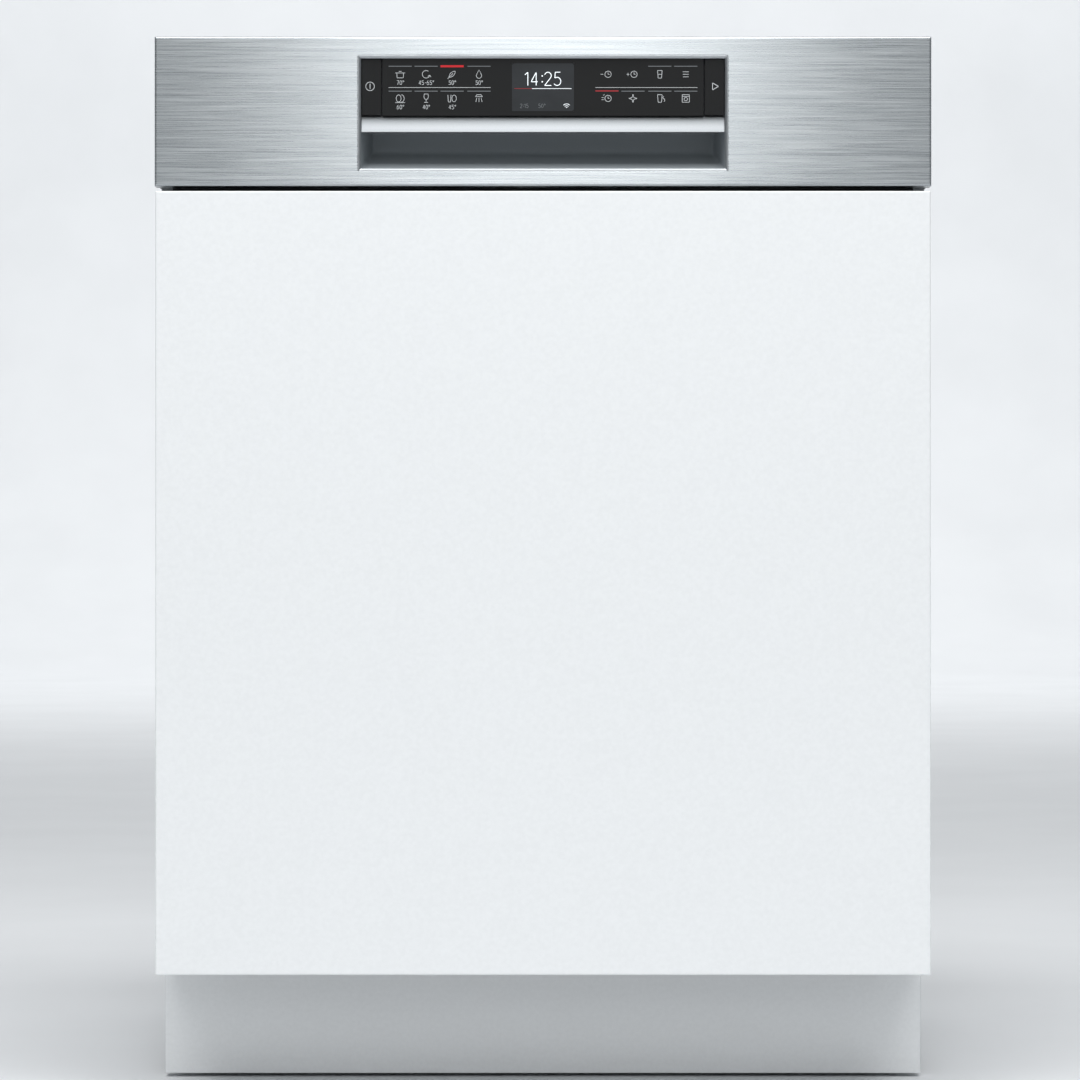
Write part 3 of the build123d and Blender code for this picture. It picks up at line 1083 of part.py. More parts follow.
# Rails on the tub walls: channels open toward the rack
RAIL_Z = UPPER_Z + RAIL_RISE
TRAY_RAIL_Z = TRAY_LOW + TRAY_HEIGHT / 2
RAIL_FRONT = TUB_FRONT + RAIL_END_GAP
RAIL_REAR = TUB_REAR - RAIL_END_GAP
with BuildPart() as rack_rails:
    for z, height in ((RAIL_Z, RAIL_HEIGHT), (TRAY_RAIL_Z, TRAY_RAIL_HEIGHT)):
        with BuildSketch(front_plane(RAIL_REAR)):
            with Locations((TUB_HALF - RAIL_DEPTH / 2, z)):
                Rectangle(RAIL_DEPTH, height)
            with Locations((TUB_HALF - RAIL_WALL - RAIL_DEPTH / 2, z)):
                Rectangle(RAIL_DEPTH, height - 2 * RAIL_WALL, mode=Mode.SUBTRACT)
        extrude(amount=RAIL_REAR - RAIL_FRONT)
    mirror(about=Plane.YZ)

# Runners on the sides of the upper rack, rectangular tubes inside the rails
RUNNER_REAR = RAIL_REAR
RUNNER_WIDTH = TUB_HALF - RAIL_WALL - RUNNING_GAP - RACK_HALF - SEAT_GAP
RUNNER_HEIGHT = RAIL_HEIGHT - 2 * RAIL_WALL - 2 * RUNNING_GAP
with BuildPart() as upper_runners:
    with BuildSketch(front_plane(RUNNER_REAR)):
        with Locations((RACK_HALF + SEAT_GAP + RUNNER_WIDTH / 2, RAIL_Z)):
            Rectangle(RUNNER_WIDTH, RUNNER_HEIGHT)
            Rectangle(RUNNER_WIDTH - 2 * RAIL_WALL, RUNNER_HEIGHT - 2 * RAIL_WALL, mode=Mode.SUBTRACT)
    extrude(amount=RUNNER_LENGTH)
    mirror(about=Plane.YZ)

# Upper rack
UPPER_COMB_Y = TUB_MID + UPPER_TINES_Y
UPPER_COMB_Z = UPPER_Z + WIRE * 2.5 + TINE + RUNNING_GAP
UPPER_COMB_HALF = long_places(UPPER_LONG_COUNT)[-2]
upper_wires = basket(UPPER_Z, UPPER_HEIGHT, UPPER_FLARE, UPPER_LONG_COUNT, UPPER_CROSS_COUNT)
upper_clips = clips(UPPER_COMB_Y, UPPER_Z, UPPER_COMB_Z, UPPER_COMB_HALF)
with BuildPart() as upper_basket:
    add(upper_wires)
    add(upper_clips)
upper_rack = Compound(flat_grids(upper_basket.part, UPPER_FLARE))

# Feed pipe under the upper rack, from the duct to the hub of its spray arm
FEED_Z = UPPER_Z - WIRE - SEAT_GAP - FEED_RADIUS
UPPER_ARM_TOP = FEED_Z - FEED_RADIUS - FEED_DROP / 2
with BuildPart() as upper_feed_pipe:
    with BuildSketch(front_plane(TUB_REAR - DUCT_DEPTH - RUNNING_GAP)):
        with Locations((0, FEED_Z)):
            RegularPolygon(FEED_RADIUS, 8, rotation=22.5, major_radius=False)
    extrude(amount=TUB_REAR - DUCT_DEPTH - RUNNING_GAP - TUB_MID + HUB_RADIUS)
    with BuildSketch(Plane(origin=(0, TUB_MID, FEED_Z))):
        drum(HUB_RADIUS)
    extrude(amount=-(FEED_Z - UPPER_ARM_TOP - RUNNING_GAP))
    with BuildSketch(Plane(origin=(0, TUB_MID, UPPER_ARM_TOP + RUNNING_GAP))):
        Circle(HUB_STEM)
    extrude(amount=-(ARM_THICKNESS + RUNNING_GAP))

# Spray arms
upper_spray_arm = spray_arm(TUB_MID, UPPER_ARM_TOP - ARM_THICKNESS, UPPER_ARM_REACH)
lower_spray_arm = spray_arm(TUB_MID, ARM_LOW, LOWER_ARM_REACH)

# Lower rack, with carriers on its sides that hold the axles of the wheels
WHEEL_Z = TUB_RIM + RUNNING_GAP + WHEEL_RADIUS
WHEEL_YS = [RACK_FRONT + WHEEL_SETBACK + WHEEL_SPACING * i for i in range(WHEEL_COUNT)]
AXLE_END = RACK_HALF + RUNNING_GAP + WHEEL_WIDTH
LOWER_COMB_Y = TUB_MID + LOWER_TINES_Y
LOWER_COMB_Z = LOWER_Z + WIRE * 2.5 + TINE + RUNNING_GAP
LOWER_COMB_HALF = long_places(LOWER_LONG_COUNT)[-2]
lower_clips = clips(LOWER_COMB_Y, LOWER_Z, LOWER_COMB_Z, LOWER_COMB_HALF)
lower_wires = basket(LOWER_Z, LOWER_HEIGHT, LOWER_FLARE, LOWER_LONG_COUNT, LOWER_CROSS_COUNT)
with BuildPart() as lower_basket:
    add(lower_wires)
    add(lower_clips)
with BuildPart() as wheel_carriers:
    carrier_top = LOWER_Z + CARRIER_RISE
    for side in (-1, 1):
        across = sorted((side * (RACK_HALF - 3 * RIM_WIRE), side * RACK_HALF))
        with BuildSketch(Plane.YZ.offset(across[0])):
            with BuildLine():
                first = WHEEL_YS[0] - WHEEL_SETBACK / 2
                last = WHEEL_YS[-1] + AXLE_BLOCK / 2
                Polyline((first, carrier_top), (last, carrier_top), (last, carrier_top - AXLE_BLOCK),
                         (first, carrier_top - AXLE_BLOCK), (first, carrier_top))
            make_face()
            for y in WHEEL_YS:
                with Locations((y, WHEEL_Z - AXLE_BLOCK / 2)):
                    Rectangle(AXLE_BLOCK, carrier_top - WHEEL_Z, align=(Align.CENTER, Align.MIN))
        extrude(amount=across[1] - across[0])
        with BuildSketch(Plane.YZ.offset(min(side * RACK_HALF, side * AXLE_END))):
            for y in WHEEL_YS:
                with Locations((y, WHEEL_Z)):
                    RegularPolygon(AXLE_RADIUS, 6)
        extrude(amount=AXLE_END - RACK_HALF)
    add(lower_basket.part, mode=Mode.SUBTRACT)
lower_rack = Compound(flat_grids(lower_basket.part, LOWER_FLARE) + wheel_carriers.solids())


# Wheels of the lower rack, one pair on each axis
def wheel_pair(y):
    near = RACK_HALF + RUNNING_GAP
    with BuildPart() as pair:
        with BuildSketch(Plane.YZ.offset(near)):
            with Locations((y, WHEEL_Z)):
                drum(WHEEL_RADIUS)
                Circle(AXLE_RADIUS + FIT, mode=Mode.SUBTRACT)
        extrude(amount=WHEEL_WIDTH)
        mirror(about=Plane.YZ)
    return pair


wheels_front = wheel_pair(WHEEL_YS[0])
wheels_middle = wheel_pair(WHEEL_YS[1])
wheels_rear = wheel_pair(WHEEL_YS[2])

# Folding rows of tines
lower_comb = comb(LOWER_COMB_Y, LOWER_COMB_Z, LOWER_COMB_HALF)
with BuildPart() as lower_tines:
    add(lower_comb)

upper_comb = comb(UPPER_COMB_Y, UPPER_COMB_Z, UPPER_COMB_HALF)
with BuildPart() as upper_tines:
    add(upper_comb)

# Cutlery tray with slots in its floor and ledges that run in the upper rails
TRAY_TOP = TRAY_LOW + TRAY_HEIGHT
TRAY_REAR = RACK_REAR
with BuildPart() as cutlery_tray:
    block((-RACK_HALF, RACK_HALF), (RACK_FRONT, TRAY_REAR), (TRAY_LOW, TRAY_TOP))
    block((-RACK_HALF + TRAY_WALL, RACK_HALF - TRAY_WALL), (RACK_FRONT + TRAY_WALL, TRAY_REAR - TRAY_WALL),
          (TRAY_LOW + TRAY_WALL, TRAY_TOP), mode=Mode.SUBTRACT)
    ledge = TUB_HALF - RAIL_WALL - RUNNING_GAP
    for side in (-1, 1):
        block(sorted((side * (RACK_HALF - TRAY_WALL / 2), side * ledge)), (RACK_FRONT, TRAY_REAR),
              (TRAY_RAIL_Z - TRAY_LEDGE / 2, TRAY_RAIL_Z + TRAY_LEDGE / 2))
    with BuildSketch(Plane(origin=(0, (RACK_FRONT + TRAY_REAR) / 2, TRAY_LOW))):
        with GridLocations((2 * RACK_HALF - TRAY_SLOT_WIDTH) / TRAY_COLUMN_COUNT,
                           (TRAY_REAR - RACK_FRONT - TRAY_SLOT_WIDTH) / TRAY_ROW_COUNT, TRAY_COLUMN_COUNT,
                           TRAY_ROW_COUNT):
            Rectangle(TRAY_SLOT_WIDTH, TRAY_SLOT_LENGTH)
    extrude(amount=TRAY_WALL, mode=Mode.SUBTRACT)

# All pieces, each written to its own file
PIECES = {
    "furniture_panel": furniture_panel, "fascia": fascia, "window_trim": window_trim,
    "control_housing": control_housing, "handle_pocket": handle_pocket, "handle_lip": handle_lip,
    "control_strip": control_strip, "display_window": display_window, "on_off_button": on_off_button,
    "start_button": start_button, "control_board": control_board, "door_outer": door_outer,
    "door_liner": door_liner, "dispenser_body": dispenser_body, "dispenser_lid": dispenser_lid,
    "rinse_cap": rinse_cap, "latch_housing": latch_housing, "latch_lever": latch_lever,
    "door_strike": door_strike, "hinge_arms": hinge_arms, "hinge_brackets": hinge_brackets,
    "door_screws": door_screws, "tub_wrapper": tub_wrapper, "tub_back": tub_back, "tub_floor": tub_floor,
    "door_gasket": door_gasket, "side_panel_left": side_panel_left, "side_panel_right": side_panel_right,
    "rear_panel": rear_panel, "top_crossbar": top_crossbar, "sound_mat": sound_mat, "base_tray": base_tray,
    "foot_front_left": foot_front_left, "foot_front_right": foot_front_right, "foot_rear": foot_rear,
    "plinth_board": plinth_board, "sump": sump, "filter_plate": filter_plate,
    "filter_cylinder": filter_cylinder, "circulation_pump": circulation_pump, "drain_pump": drain_pump,
    "softener": softener, "salt_cap": salt_cap, "inlet_valve": inlet_valve, "rear_ports": rear_ports,
    "rear_duct": rear_duct, "ceiling_shower": ceiling_shower, "rack_rails": rack_rails,
    "upper_runners": upper_runners, "upper_rack": upper_rack, "upper_feed_pipe": upper_feed_pipe,
    "upper_spray_arm": upper_spray_arm, "lower_spray_arm": lower_spray_arm, "lower_rack": lower_rack,
    "wheels_front": wheels_front, "wheels_middle": wheels_middle, "wheels_rear": wheels_rear,
    "lower_tines": lower_tines, "upper_tines": upper_tines, "cutlery_tray": cutlery_tray,
}
for name, piece in PIECES.items():
    shape = getattr(piece, "part", piece)
    shape.label = name
    export_step(shape, f"parts/{name}.step")
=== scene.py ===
import json
import math

import bpy
import numpy as np
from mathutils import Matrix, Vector


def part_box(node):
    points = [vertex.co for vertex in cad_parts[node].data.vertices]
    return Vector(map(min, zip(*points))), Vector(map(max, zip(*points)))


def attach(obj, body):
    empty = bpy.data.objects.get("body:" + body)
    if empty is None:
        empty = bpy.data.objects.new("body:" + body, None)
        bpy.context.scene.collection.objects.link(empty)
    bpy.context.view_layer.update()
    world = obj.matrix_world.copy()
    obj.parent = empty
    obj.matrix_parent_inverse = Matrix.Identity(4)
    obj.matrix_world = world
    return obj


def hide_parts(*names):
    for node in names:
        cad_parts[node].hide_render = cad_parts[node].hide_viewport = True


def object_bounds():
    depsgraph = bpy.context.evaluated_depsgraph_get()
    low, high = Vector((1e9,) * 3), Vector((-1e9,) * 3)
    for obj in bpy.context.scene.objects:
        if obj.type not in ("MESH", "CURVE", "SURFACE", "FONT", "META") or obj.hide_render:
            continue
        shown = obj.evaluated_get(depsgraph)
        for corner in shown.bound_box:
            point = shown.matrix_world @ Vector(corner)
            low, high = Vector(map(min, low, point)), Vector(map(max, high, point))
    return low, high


# Looks of a built-in dishwasher. Metres, front toward -Y, floor at Z = 0.
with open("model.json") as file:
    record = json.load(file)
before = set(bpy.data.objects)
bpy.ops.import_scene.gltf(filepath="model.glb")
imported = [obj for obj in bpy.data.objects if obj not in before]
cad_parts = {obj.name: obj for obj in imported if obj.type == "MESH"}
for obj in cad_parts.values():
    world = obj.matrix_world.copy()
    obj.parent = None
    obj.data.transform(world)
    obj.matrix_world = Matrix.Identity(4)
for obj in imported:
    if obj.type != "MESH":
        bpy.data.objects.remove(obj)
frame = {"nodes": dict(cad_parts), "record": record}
cad_low, cad_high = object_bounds()
MM = 0.001


# Colour and node helpers
def linear(code):
    """Linear colour of an sRGB hex code: each channel goes through the sRGB curve."""
    c = np.array([int(code[i:i + 2], 16) for i in (0, 2, 4)]) / 255.0
    c = np.where(c <= 0.04045, c / 12.92, ((c + 0.055) / 1.055) ** 2.4)
    return (*c.tolist(), 1.0)


def add(tree, kind, inputs=None, **settings):
    """Adds one node. Inputs are values for its sockets, or sockets that feed them."""
    node = tree.nodes.new("ShaderNode" + kind)
    for key, value in settings.items():
        setattr(node, key, value)
    for key, value in (inputs or {}).items():
        socket = node.inputs[key]
        if isinstance(value, bpy.types.NodeSocket):
            tree.links.new(value, socket)
        else:
            socket.default_value = value
    return node


def place(tree, sizes):
    """Object coordinates scaled so that one unit is one feature of the given size in mm along x, y, z."""
    where = add(tree, "TexCoord").outputs["Object"]
    scale = [1 / (size * MM) for size in sizes]
    return add(tree, "Mapping", {"Vector": where, "Scale": scale}).outputs["Vector"]


def between(tree, factor, low, high):
    """A value that runs from low to high as the factor runs over a noise's usual spread."""
    spread = {"Value": factor, "From Min": 0.3, "From Max": 0.7, "To Min": low, "To Max": high}
    return add(tree, "MapRange", spread).outputs["Result"]


def shades(tree, factor, dark, light):
    """A colour between two hex codes."""
    mix = add(tree, "Mix", {"Factor": between(tree, factor, 0.0, 1.0)}, data_type="RGBA")
    mix.inputs[6].default_value = linear(dark)
    mix.inputs[7].default_value = linear(light)
    return mix.outputs[2]


def finish(name, dark, light, grain, rough, bump, edge=0.5, **shader):
    """One surface: noise of a real grain size in mm along x, y, z steers colour, roughness and height."""
    material = bpy.data.materials.new(name)
    material.use_nodes = True
    tree = material.node_tree
    tree.nodes.clear()
    pattern = {"Vector": place(tree, grain), "Scale": 1.0, "Detail": 3.0}
    noise = add(tree, "TexNoise", pattern).outputs["Fac"]
    rounded = add(tree, "Bevel", {"Radius": edge * MM}, samples=4).outputs["Normal"]
    relief = {"Height": noise, "Strength": 0.6, "Distance": bump * MM, "Normal": rounded}
    surface = add(tree, "BsdfPrincipled", {
        "Base Color": shades(tree, noise, dark, light),
        "Roughness": between(tree, noise, *rough),
        "Normal": add(tree, "Bump", relief).outputs["Normal"],
    })
    for key, value in shader.items():
        surface.inputs[key.replace("_", " ")].default_value = value
    add(tree, "OutputMaterial", {"Surface": surface.outputs["BSDF"]})
    return material


# Materials, each named for what it is and how it was made
def brushed_steel():
    """Steel sheet brushed along its length: streaks of two widths, and light drawn out across them."""
    material = finish("steel_brushed_lengthwise", "A9AEB1", "C3C7C9",
                      (60, 60, 0.5), (0.24, 0.32), 0.004, edge=0.8, Metallic=1.0)
    tree = material.node_tree
    surface = tree.nodes["Principled BSDF"]
    pattern = {"Vector": place(tree, (140, 140, 2.2)), "Scale": 1.0, "Detail": 4.0}
    wide = add(tree, "TexNoise", pattern).outputs["Fac"]
    fine = surface.inputs["Base Color"].links[0].from_socket
    streak = add(tree, "Mix", {"Factor": 0.55}, data_type="RGBA", blend_type="MULTIPLY")
    tree.links.new(fine, streak.inputs[6])
    tree.links.new(shades(tree, wide, "D6D9DB", "FFFFFF"), streak.inputs[7])
    tree.links.new(streak.outputs[2], surface.inputs["Base Color"])
    tangent = add(tree, "Tangent", direction_type="RADIAL", axis="Z")
    tree.links.new(tangent.outputs["Tangent"], surface.inputs["Tangent"])
    surface.inputs["Anisotropic"].default_value = 0.85
    surface.inputs["Anisotropic Rotation"].default_value = 0.25
    return material


def spangled_zinc():
    """Hot-dip zinc coat: crystals a few millimetres wide that differ a little in grey and gloss."""
    material = finish("steel_hot_dip_zinc", "8E9396", "A6ABAE",
                      (40, 40, 40), (0.38, 0.5), 0.01, Metallic=1.0)
    tree = material.node_tree
    surface = tree.nodes["Principled BSDF"]
    pattern = {"Vector": place(tree, (5, 5, 5)), "Scale": 1.0, "Randomness": 1.0}
    cells = add(tree, "TexVoronoi", pattern).outputs["Color"]
    grey = add(tree, "RGBToBW", {"Color": cells}).outputs["Val"]
    tree.links.new(shades(tree, grey, "A3A8AB", "B0B5B8"), surface.inputs["Base Color"])
    tree.links.new(between(tree, grey, 0.42, 0.5), surface.inputs["Roughness"])
    return material


def aluminium_with_painted_shade():
    """Anodised aluminium with painted shade: its colour darkens from the foot of the lip to its top, toward
    the dark edge above it, as the strip's shade would.
    """
    material = finish("aluminium_satin_anodised_painted_shade", "ABAFB2", "B8BCBF",
                      (0.4, 0.4, 0.4), (0.34, 0.4), 0.001, edge=0.6, Metallic=1.0)
    tree = material.node_tree
    surface = tree.nodes["Principled BSDF"]
    foot, top = (point.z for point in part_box("handle_lip"))
    metre = (1000, 1000, 1000)
    height = add(tree, "SeparateXYZ", {"Vector": place(tree, metre)}).outputs["Z"]
    start = foot + 0.25 * (top - foot)
    fall = {"Value": height, "From Min": start, "From Max": top, "To Min": 0.0, "To Max": 0.62}
    painted_shade = add(tree, "MapRange", fall, interpolation_type="SMOOTHSTEP").outputs["Result"]
    painted_shade_mix = add(tree, "Mix", {"Factor": painted_shade}, data_type="RGBA")
    tree.links.new(surface.inputs["Base Color"].links[0].from_socket, painted_shade_mix.inputs[6])
    # Painted shade: toward the lip's top the colour turns to this dark grey, where the strip above would
    # shade it.
    painted_shade_mix.inputs[7].default_value = linear("3A3E41")
    tree.links.new(painted_shade_mix.outputs[2], surface.inputs["Base Color"])
    return material


def glow(name, code, strength):
    """A lit sign behind a clear front: even light with a faint unevenness of the diffuser."""
    material = finish(name, code, code, (1.5, 1.5, 1.5), (0.4, 0.5), 0.001, edge=0.01)
    tree = material.node_tree
    surface = tree.nodes["Principled BSDF"]
    surface.inputs["Emission Color"].default_value = linear(code)
    noise = surface.inputs["Roughness"].links[0].from_node.inputs["Value"].links[0].from_socket
    tree.links.new(between(tree, noise, 0.9 * strength, strength), surface.inputs["Emission Strength"])
    return material


MATERIALS = {
    # Horizontal streaks and a soft vertical smear of light.
    "brushed_stainless": brushed_steel(),
    # Sprayed satin lacquer on board: nearly even white with a faint orange peel.
    "white_lacquer": finish("lacquer_sprayed_satin_white", "EFF1F2", "F3F5F6",
                            (3, 3, 3), (0.36, 0.42), 0.0012, edge=1.0, IOR=1.5),
    # Cold-rolled tub sheet: milky reflections with fine lines up the walls.
    "tub_stainless": finish("steel_cold_rolled", "ABAEB0", "B6B9BB",
                            (1.2, 30, 30), (0.29, 0.34), 0.001, edge=1.0, Metallic=1.0),
    # Zinc crystals: a mottled grey that glints in patches.
    "galvanised": spangled_zinc(),
    # Powder coat on the door pan: matt black with a fine pebble.
    "dark_sheet": finish("steel_powder_coated_black", "202325", "2A2D30",
                         (0.8, 0.8, 0.8), (0.55, 0.7), 0.02, IOR=1.5),
    # Black front of the control strip with a fine anti-glare satin.
    "black_panel": finish("acrylic_satin_black", "0E0F10", "131415",
                          (0.4, 0.4, 0.4), (0.46, 0.54), 0.001, edge=0.3, IOR=1.36),
    # Fine-blasted and anodised aluminium: even, silky grey.
    "satin_aluminium": finish("aluminium_satin_anodised", "ABAFB2", "B8BCBF",
                              (0.4, 0.4, 0.4), (0.34, 0.4), 0.001, edge=0.6, Metallic=1.0),
    # Moulded plastics with a spark-eroded grain: soft, broken highlights.
    "dark_plastic": finish("plastic_moulded_dark_grey", "3A3F42", "444A4D",
                           (0.6, 0.6, 0.6), (0.42, 0.55), 0.01, IOR=1.5),
    "grey_plastic": finish("plastic_moulded_grey", "7C8286", "868C90",
                           (0.7, 0.7, 0.7), (0.55, 0.68), 0.01, edge=1.0, IOR=1.45),
    "black_plastic": finish("plastic_moulded_black", "17191A", "1F2224",
                            (0.6, 0.6, 0.6), (0.4, 0.55), 0.01, IOR=1.5),
    "white_plastic": finish("plastic_moulded_white", "DDE0E0", "E6E8E8",
                            (0.8, 0.8, 0.8), (0.35, 0.48), 0.008, IOR=1.49),
    # Extruded rubber: dull black with a dusty bloom.
    "gasket_rubber": finish("rubber_extruded_black", "1C1D1F", "2B2C2E",
                            (6, 6, 6), (0.6, 0.8), 0.02, IOR=1.52),
    # Bitumen sheet: grainy tar black.
    "bitumen": finish("bitumen_pressed_sheet", "0F0F10", "1E1E1F",
                      (1.6, 1.6, 1.6), (0.7, 0.9), 0.15, IOR=1.6),
    # Nylon-coated rack wire: smooth mid grey with a waxy sheen.
    "coated_wire": finish("wire_nylon_coated_grey", "8C9296", "979DA1",
                          (2, 2, 2), (0.28, 0.38), 0.01, edge=0.2, IOR=1.53),
    # Solder-masked board: deep, glossy green.
    "board_green": finish("board_solder_masked_green", "0E4A2C", "155C38",
                          (2, 2, 2), (0.3, 0.42), 0.01, IOR=1.5),
    # Die-cast motor body: dull metal with a fine skin.
    "motor_metal": finish("aluminium_die_cast", "8B8F92", "9DA1A4",
                          (1.2, 1.2, 1.2), (0.42, 0.58), 0.03, Metallic=1.0),
}
# The same aluminium on the lip, with painted shade: its colour falls off toward the strip above it.
LIP_WITH_PAINTED_SHADE = aluminium_with_painted_shade()
# Screen-printed ink: a flat, chalky grey on the black.
INK = finish("ink_screen_printed_light_grey", "D4D8DA", "DFE2E4",
             (0.3, 0.3, 0.3), (0.45, 0.6), 0.001, edge=0.01, IOR=1.5)
DIM_INK = finish("ink_screen_printed_grey", "6C7073", "777B7E",
                 (0.3, 0.3, 0.3), (0.45, 0.6), 0.001, edge=0.01, IOR=1.5)
# Lit figures and lamps: they stand out from the strip without a halo.
LIT = glow("display_lit_white", "DDE3E6", 0.8)
LIT_RED = glow("lamp_lit_red", "BC0C18", 0.3)
DARK_RED = glow("lamp_dim_red", "8A1820", 0.3)
# Display glass: a shade lighter than the strip.
SCREEN = finish("display_glass_dark_grey", "24272A", "2D3033",
                (30, 30, 14), (0.44, 0.52), 0.001, edge=0.1, IOR=1.4)

for part in frame["record"]["subparts"]:
    coat = SCREEN if part["node"] == "display_window" else MATERIALS[part["material_slot"]]
    mesh = frame["nodes"][part["node"]].data
    mesh.materials.clear()
    mesh.materials.append(coat)


# Mesh helpers. A shape is an array of points in mm and an array of four-sided faces.
def box(node):
    """Lowest and highest corner of a CAD node in mm."""
    return [np.array(corner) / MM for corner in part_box(node)]


def smooth_mesh(name, points, faces, material):
    """An object with one smooth mesh, from points in metres and four-sided faces."""
    mesh = bpy.data.meshes.new(name)
    mesh.vertices.add(len(points))
    mesh.vertices.foreach_set("co", points.astype(np.float32).ravel())
    mesh.loops.add(faces.size)
    mesh.loops.foreach_set("vertex_index", faces.astype(np.int32).ravel())
    mesh.polygons.add(len(faces))
    mesh.polygons.foreach_set("loop_start", np.arange(0, faces.size, 4, dtype=np.int32))
    mesh.polygons.foreach_set("use_smooth", np.ones(len(faces), bool))
    mesh.update(calc_edges=True)
    mesh.validate()
    mesh.materials.append(material)
    made = bpy.data.objects.new(name, mesh)
    bpy.context.scene.collection.objects.link(made)
    return made


def piece(name, shapes, body, slot, material=None, replaced=()):
    """One mesh from several shapes, which rides on a body and may stand in for CAD nodes."""
    points, faces, start = [], [], 0
    for vertices, quads in shapes:
        points.append(vertices)
        faces.append(quads + start)
        start += len(vertices)
    coat = material or MATERIALS[slot]
    made = smooth_mesh(name, np.concatenate(points) * MM, np.concatenate(faces), coat)
    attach(made, body)
    if replaced:
        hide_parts(*replaced)
    return made


def rings(grid, closed=False):
    """Faces that join each ring of points to the next. The last ring joins the first when closed."""
    count, sides = grid.shape[:2]
    index = np.arange(count * sides).reshape(count, sides)
    ahead = np.roll(index, -1, 0)
    a, b = (index, ahead) if closed else (index[:-1], ahead[:-1])
    quads = np.stack([a, np.roll(a, -1, 1), np.roll(b, -1, 1), b], -1).reshape(-1, 4)
    return grid.reshape(-1, 3), quads


def sheet(grid):
    """Faces of a surface whose points stand in rows and columns."""
    rows, columns = grid.shape[:2]
    index = np.arange(rows * columns).reshape(rows, columns)
    quads = np.stack([index[:-1, :-1], index[:-1, 1:], index[1:, 1:], index[1:, :-1]], -1)
    return grid.reshape(-1, 3), quads.reshape(-1, 4)


def bent(corners, radius, steps=6):
    """Straight runs with round corners: each corner becomes a curve that meets its runs smoothly."""
    corners = np.asarray(corners, float)
    line = [corners[:1]]
    t = np.linspace(0, 1, steps)[:, None]
    for before, here, after in zip(corners, corners[1:], corners[2:]):
        u, v = before - here, after - here
        reach = min(radius, 0.49 * np.linalg.norm(u), 0.49 * np.linalg.norm(v))
        p, q = here + u / np.linalg.norm(u) * reach, here + v / np.linalg.norm(v) * reach
        line.append((1 - t) ** 2 * p + 2 * t * (1 - t) * here + t ** 2 * q)
    line.append(corners[-1:])
    return np.concatenate(line)


def tube(line, normal, radius, sides=8, closed=False):
    """A round wire along a flat line: at each point a circle stands square to the line."""
    line = np.asarray(line, float)
    ahead = np.roll(line, -1, 0) - np.roll(line, 1, 0)
    if not closed:
        ahead[0], ahead[-1] = line[1] - line[0], line[-1] - line[-2]
    ahead /= np.linalg.norm(ahead, axis=1)[:, None]
    out = np.asarray(normal, float)[None, :]
    across = np.cross(out, ahead)
    angle = np.linspace(0, 2 * np.pi, sides, endpoint=False)[None, :, None]
    circle = np.cos(angle) * across[:, None] + np.sin(angle) * out[:, None]
    if not closed:
        line = np.concatenate([line[:1], line, line[-1:]])
        circle = np.concatenate([circle[:1] * 0.02, circle, circle[-1:] * 0.02])
    return rings(line[:, None] + radius * circle, closed)


def slab(low, high, edge):
    """A block with bevelled edges: stacked outlines, the outer ones drawn in by the bevel, then closed."""
    low, high = np.asarray(low, float), np.asarray(high, float)
    levels = [(low[2], edge * 0.98), (low[2], edge), (low[2] + edge, 0),
              (high[2] - edge, 0), (high[2], edge), (high[2], edge * 0.98)]
    shape = []
    for z, inset in levels:
        x0, x1, y0, y1 = low[0] + inset, high[0] - inset, low[1] + inset, high[1] - inset
        shape.append([(x0, y0, z), (x1, y0, z), (x1, y1, z), (x0, y1, z)])
    grid = np.array(shape)
    for end in (0, -1):
        middle = grid[end].mean(0)
        grid[end] = middle + (grid[end] - middle) * 0.01
    return rings(grid)


def circle_about(axis, sides):
    """Angles, and unit directions round an axis that runs along X, Y or Z."""
    axis = np.asarray(axis, float)
    side = np.array([1.0, 0.0, 0.0]) if abs(axis[0]) < 0.5 else np.array([0.0, 1.0, 0.0])
    angle = np.linspace(0, 2 * np.pi, sides, endpoint=False)
    return angle, np.cos(angle)[:, None] * side + np.sin(angle)[:, None] * np.cross(axis, side)


def turned(centre, axis, profile, sides=28):
    """A turned form: the profile of distances along the axis and radii, swung round the axis."""
    _, circle = circle_about(axis, sides)
    centre, axis = np.asarray(centre, float), np.asarray(axis, float)
    profile = np.asarray(profile, float)[:, :, None]
    return rings(centre + profile[:, :1] * axis + profile[:, 1:] * circle)


def threaded(base, axis, length, radius, depth, pitch, sides=24):
    """A screw thread: the radius falls and rises once per pitch, shifted by one pitch in each turn."""
    angle, circle = circle_about(axis, sides)
    along = np.linspace(0, length, int(length / pitch * 8) + 1)
    wave = np.abs(2 * ((along[:, None] / pitch - angle / (2 * np.pi)) % 1.0) - 1)
    size = radius - depth * wave
    size[0], size[-1] = 0.1, 0.1
    base, axis = np.asarray(base, float), np.asarray(axis, float)
    return rings(base + along[:, None, None] * axis + size[..., None] * circle)


# Printed signs on the strip
STRIP_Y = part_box("control_strip")[0].y / MM - 0.05


def stroke(points, width):
    """A flat line of even width on the strip: each point is set off to both sides, square to the line."""
    p = np.asarray(points, float)
    ahead = np.roll(p, -1, 0) - np.roll(p, 1, 0)
    ahead[0], ahead[-1] = p[1] - p[0], p[-1] - p[-2]
    ahead /= np.linalg.norm(ahead, axis=1)[:, None] + 1e-12
    side = np.stack([-ahead[:, 1], ahead[:, 0]], 1) * width / 2
    pair = np.stack([p + side, p - side], 1)
    return sheet(np.stack([pair[..., 0], np.full(pair.shape[:2], STRIP_Y), pair[..., 1]], -1))


def arc(x, z, rx, rz, start, end, count=14):
    """Points on an ellipse from one angle to another, in degrees."""
    t = np.radians(np.linspace(start, end, count))
    return np.stack([x + rx * np.cos(t), z + rz * np.sin(t)], 1)


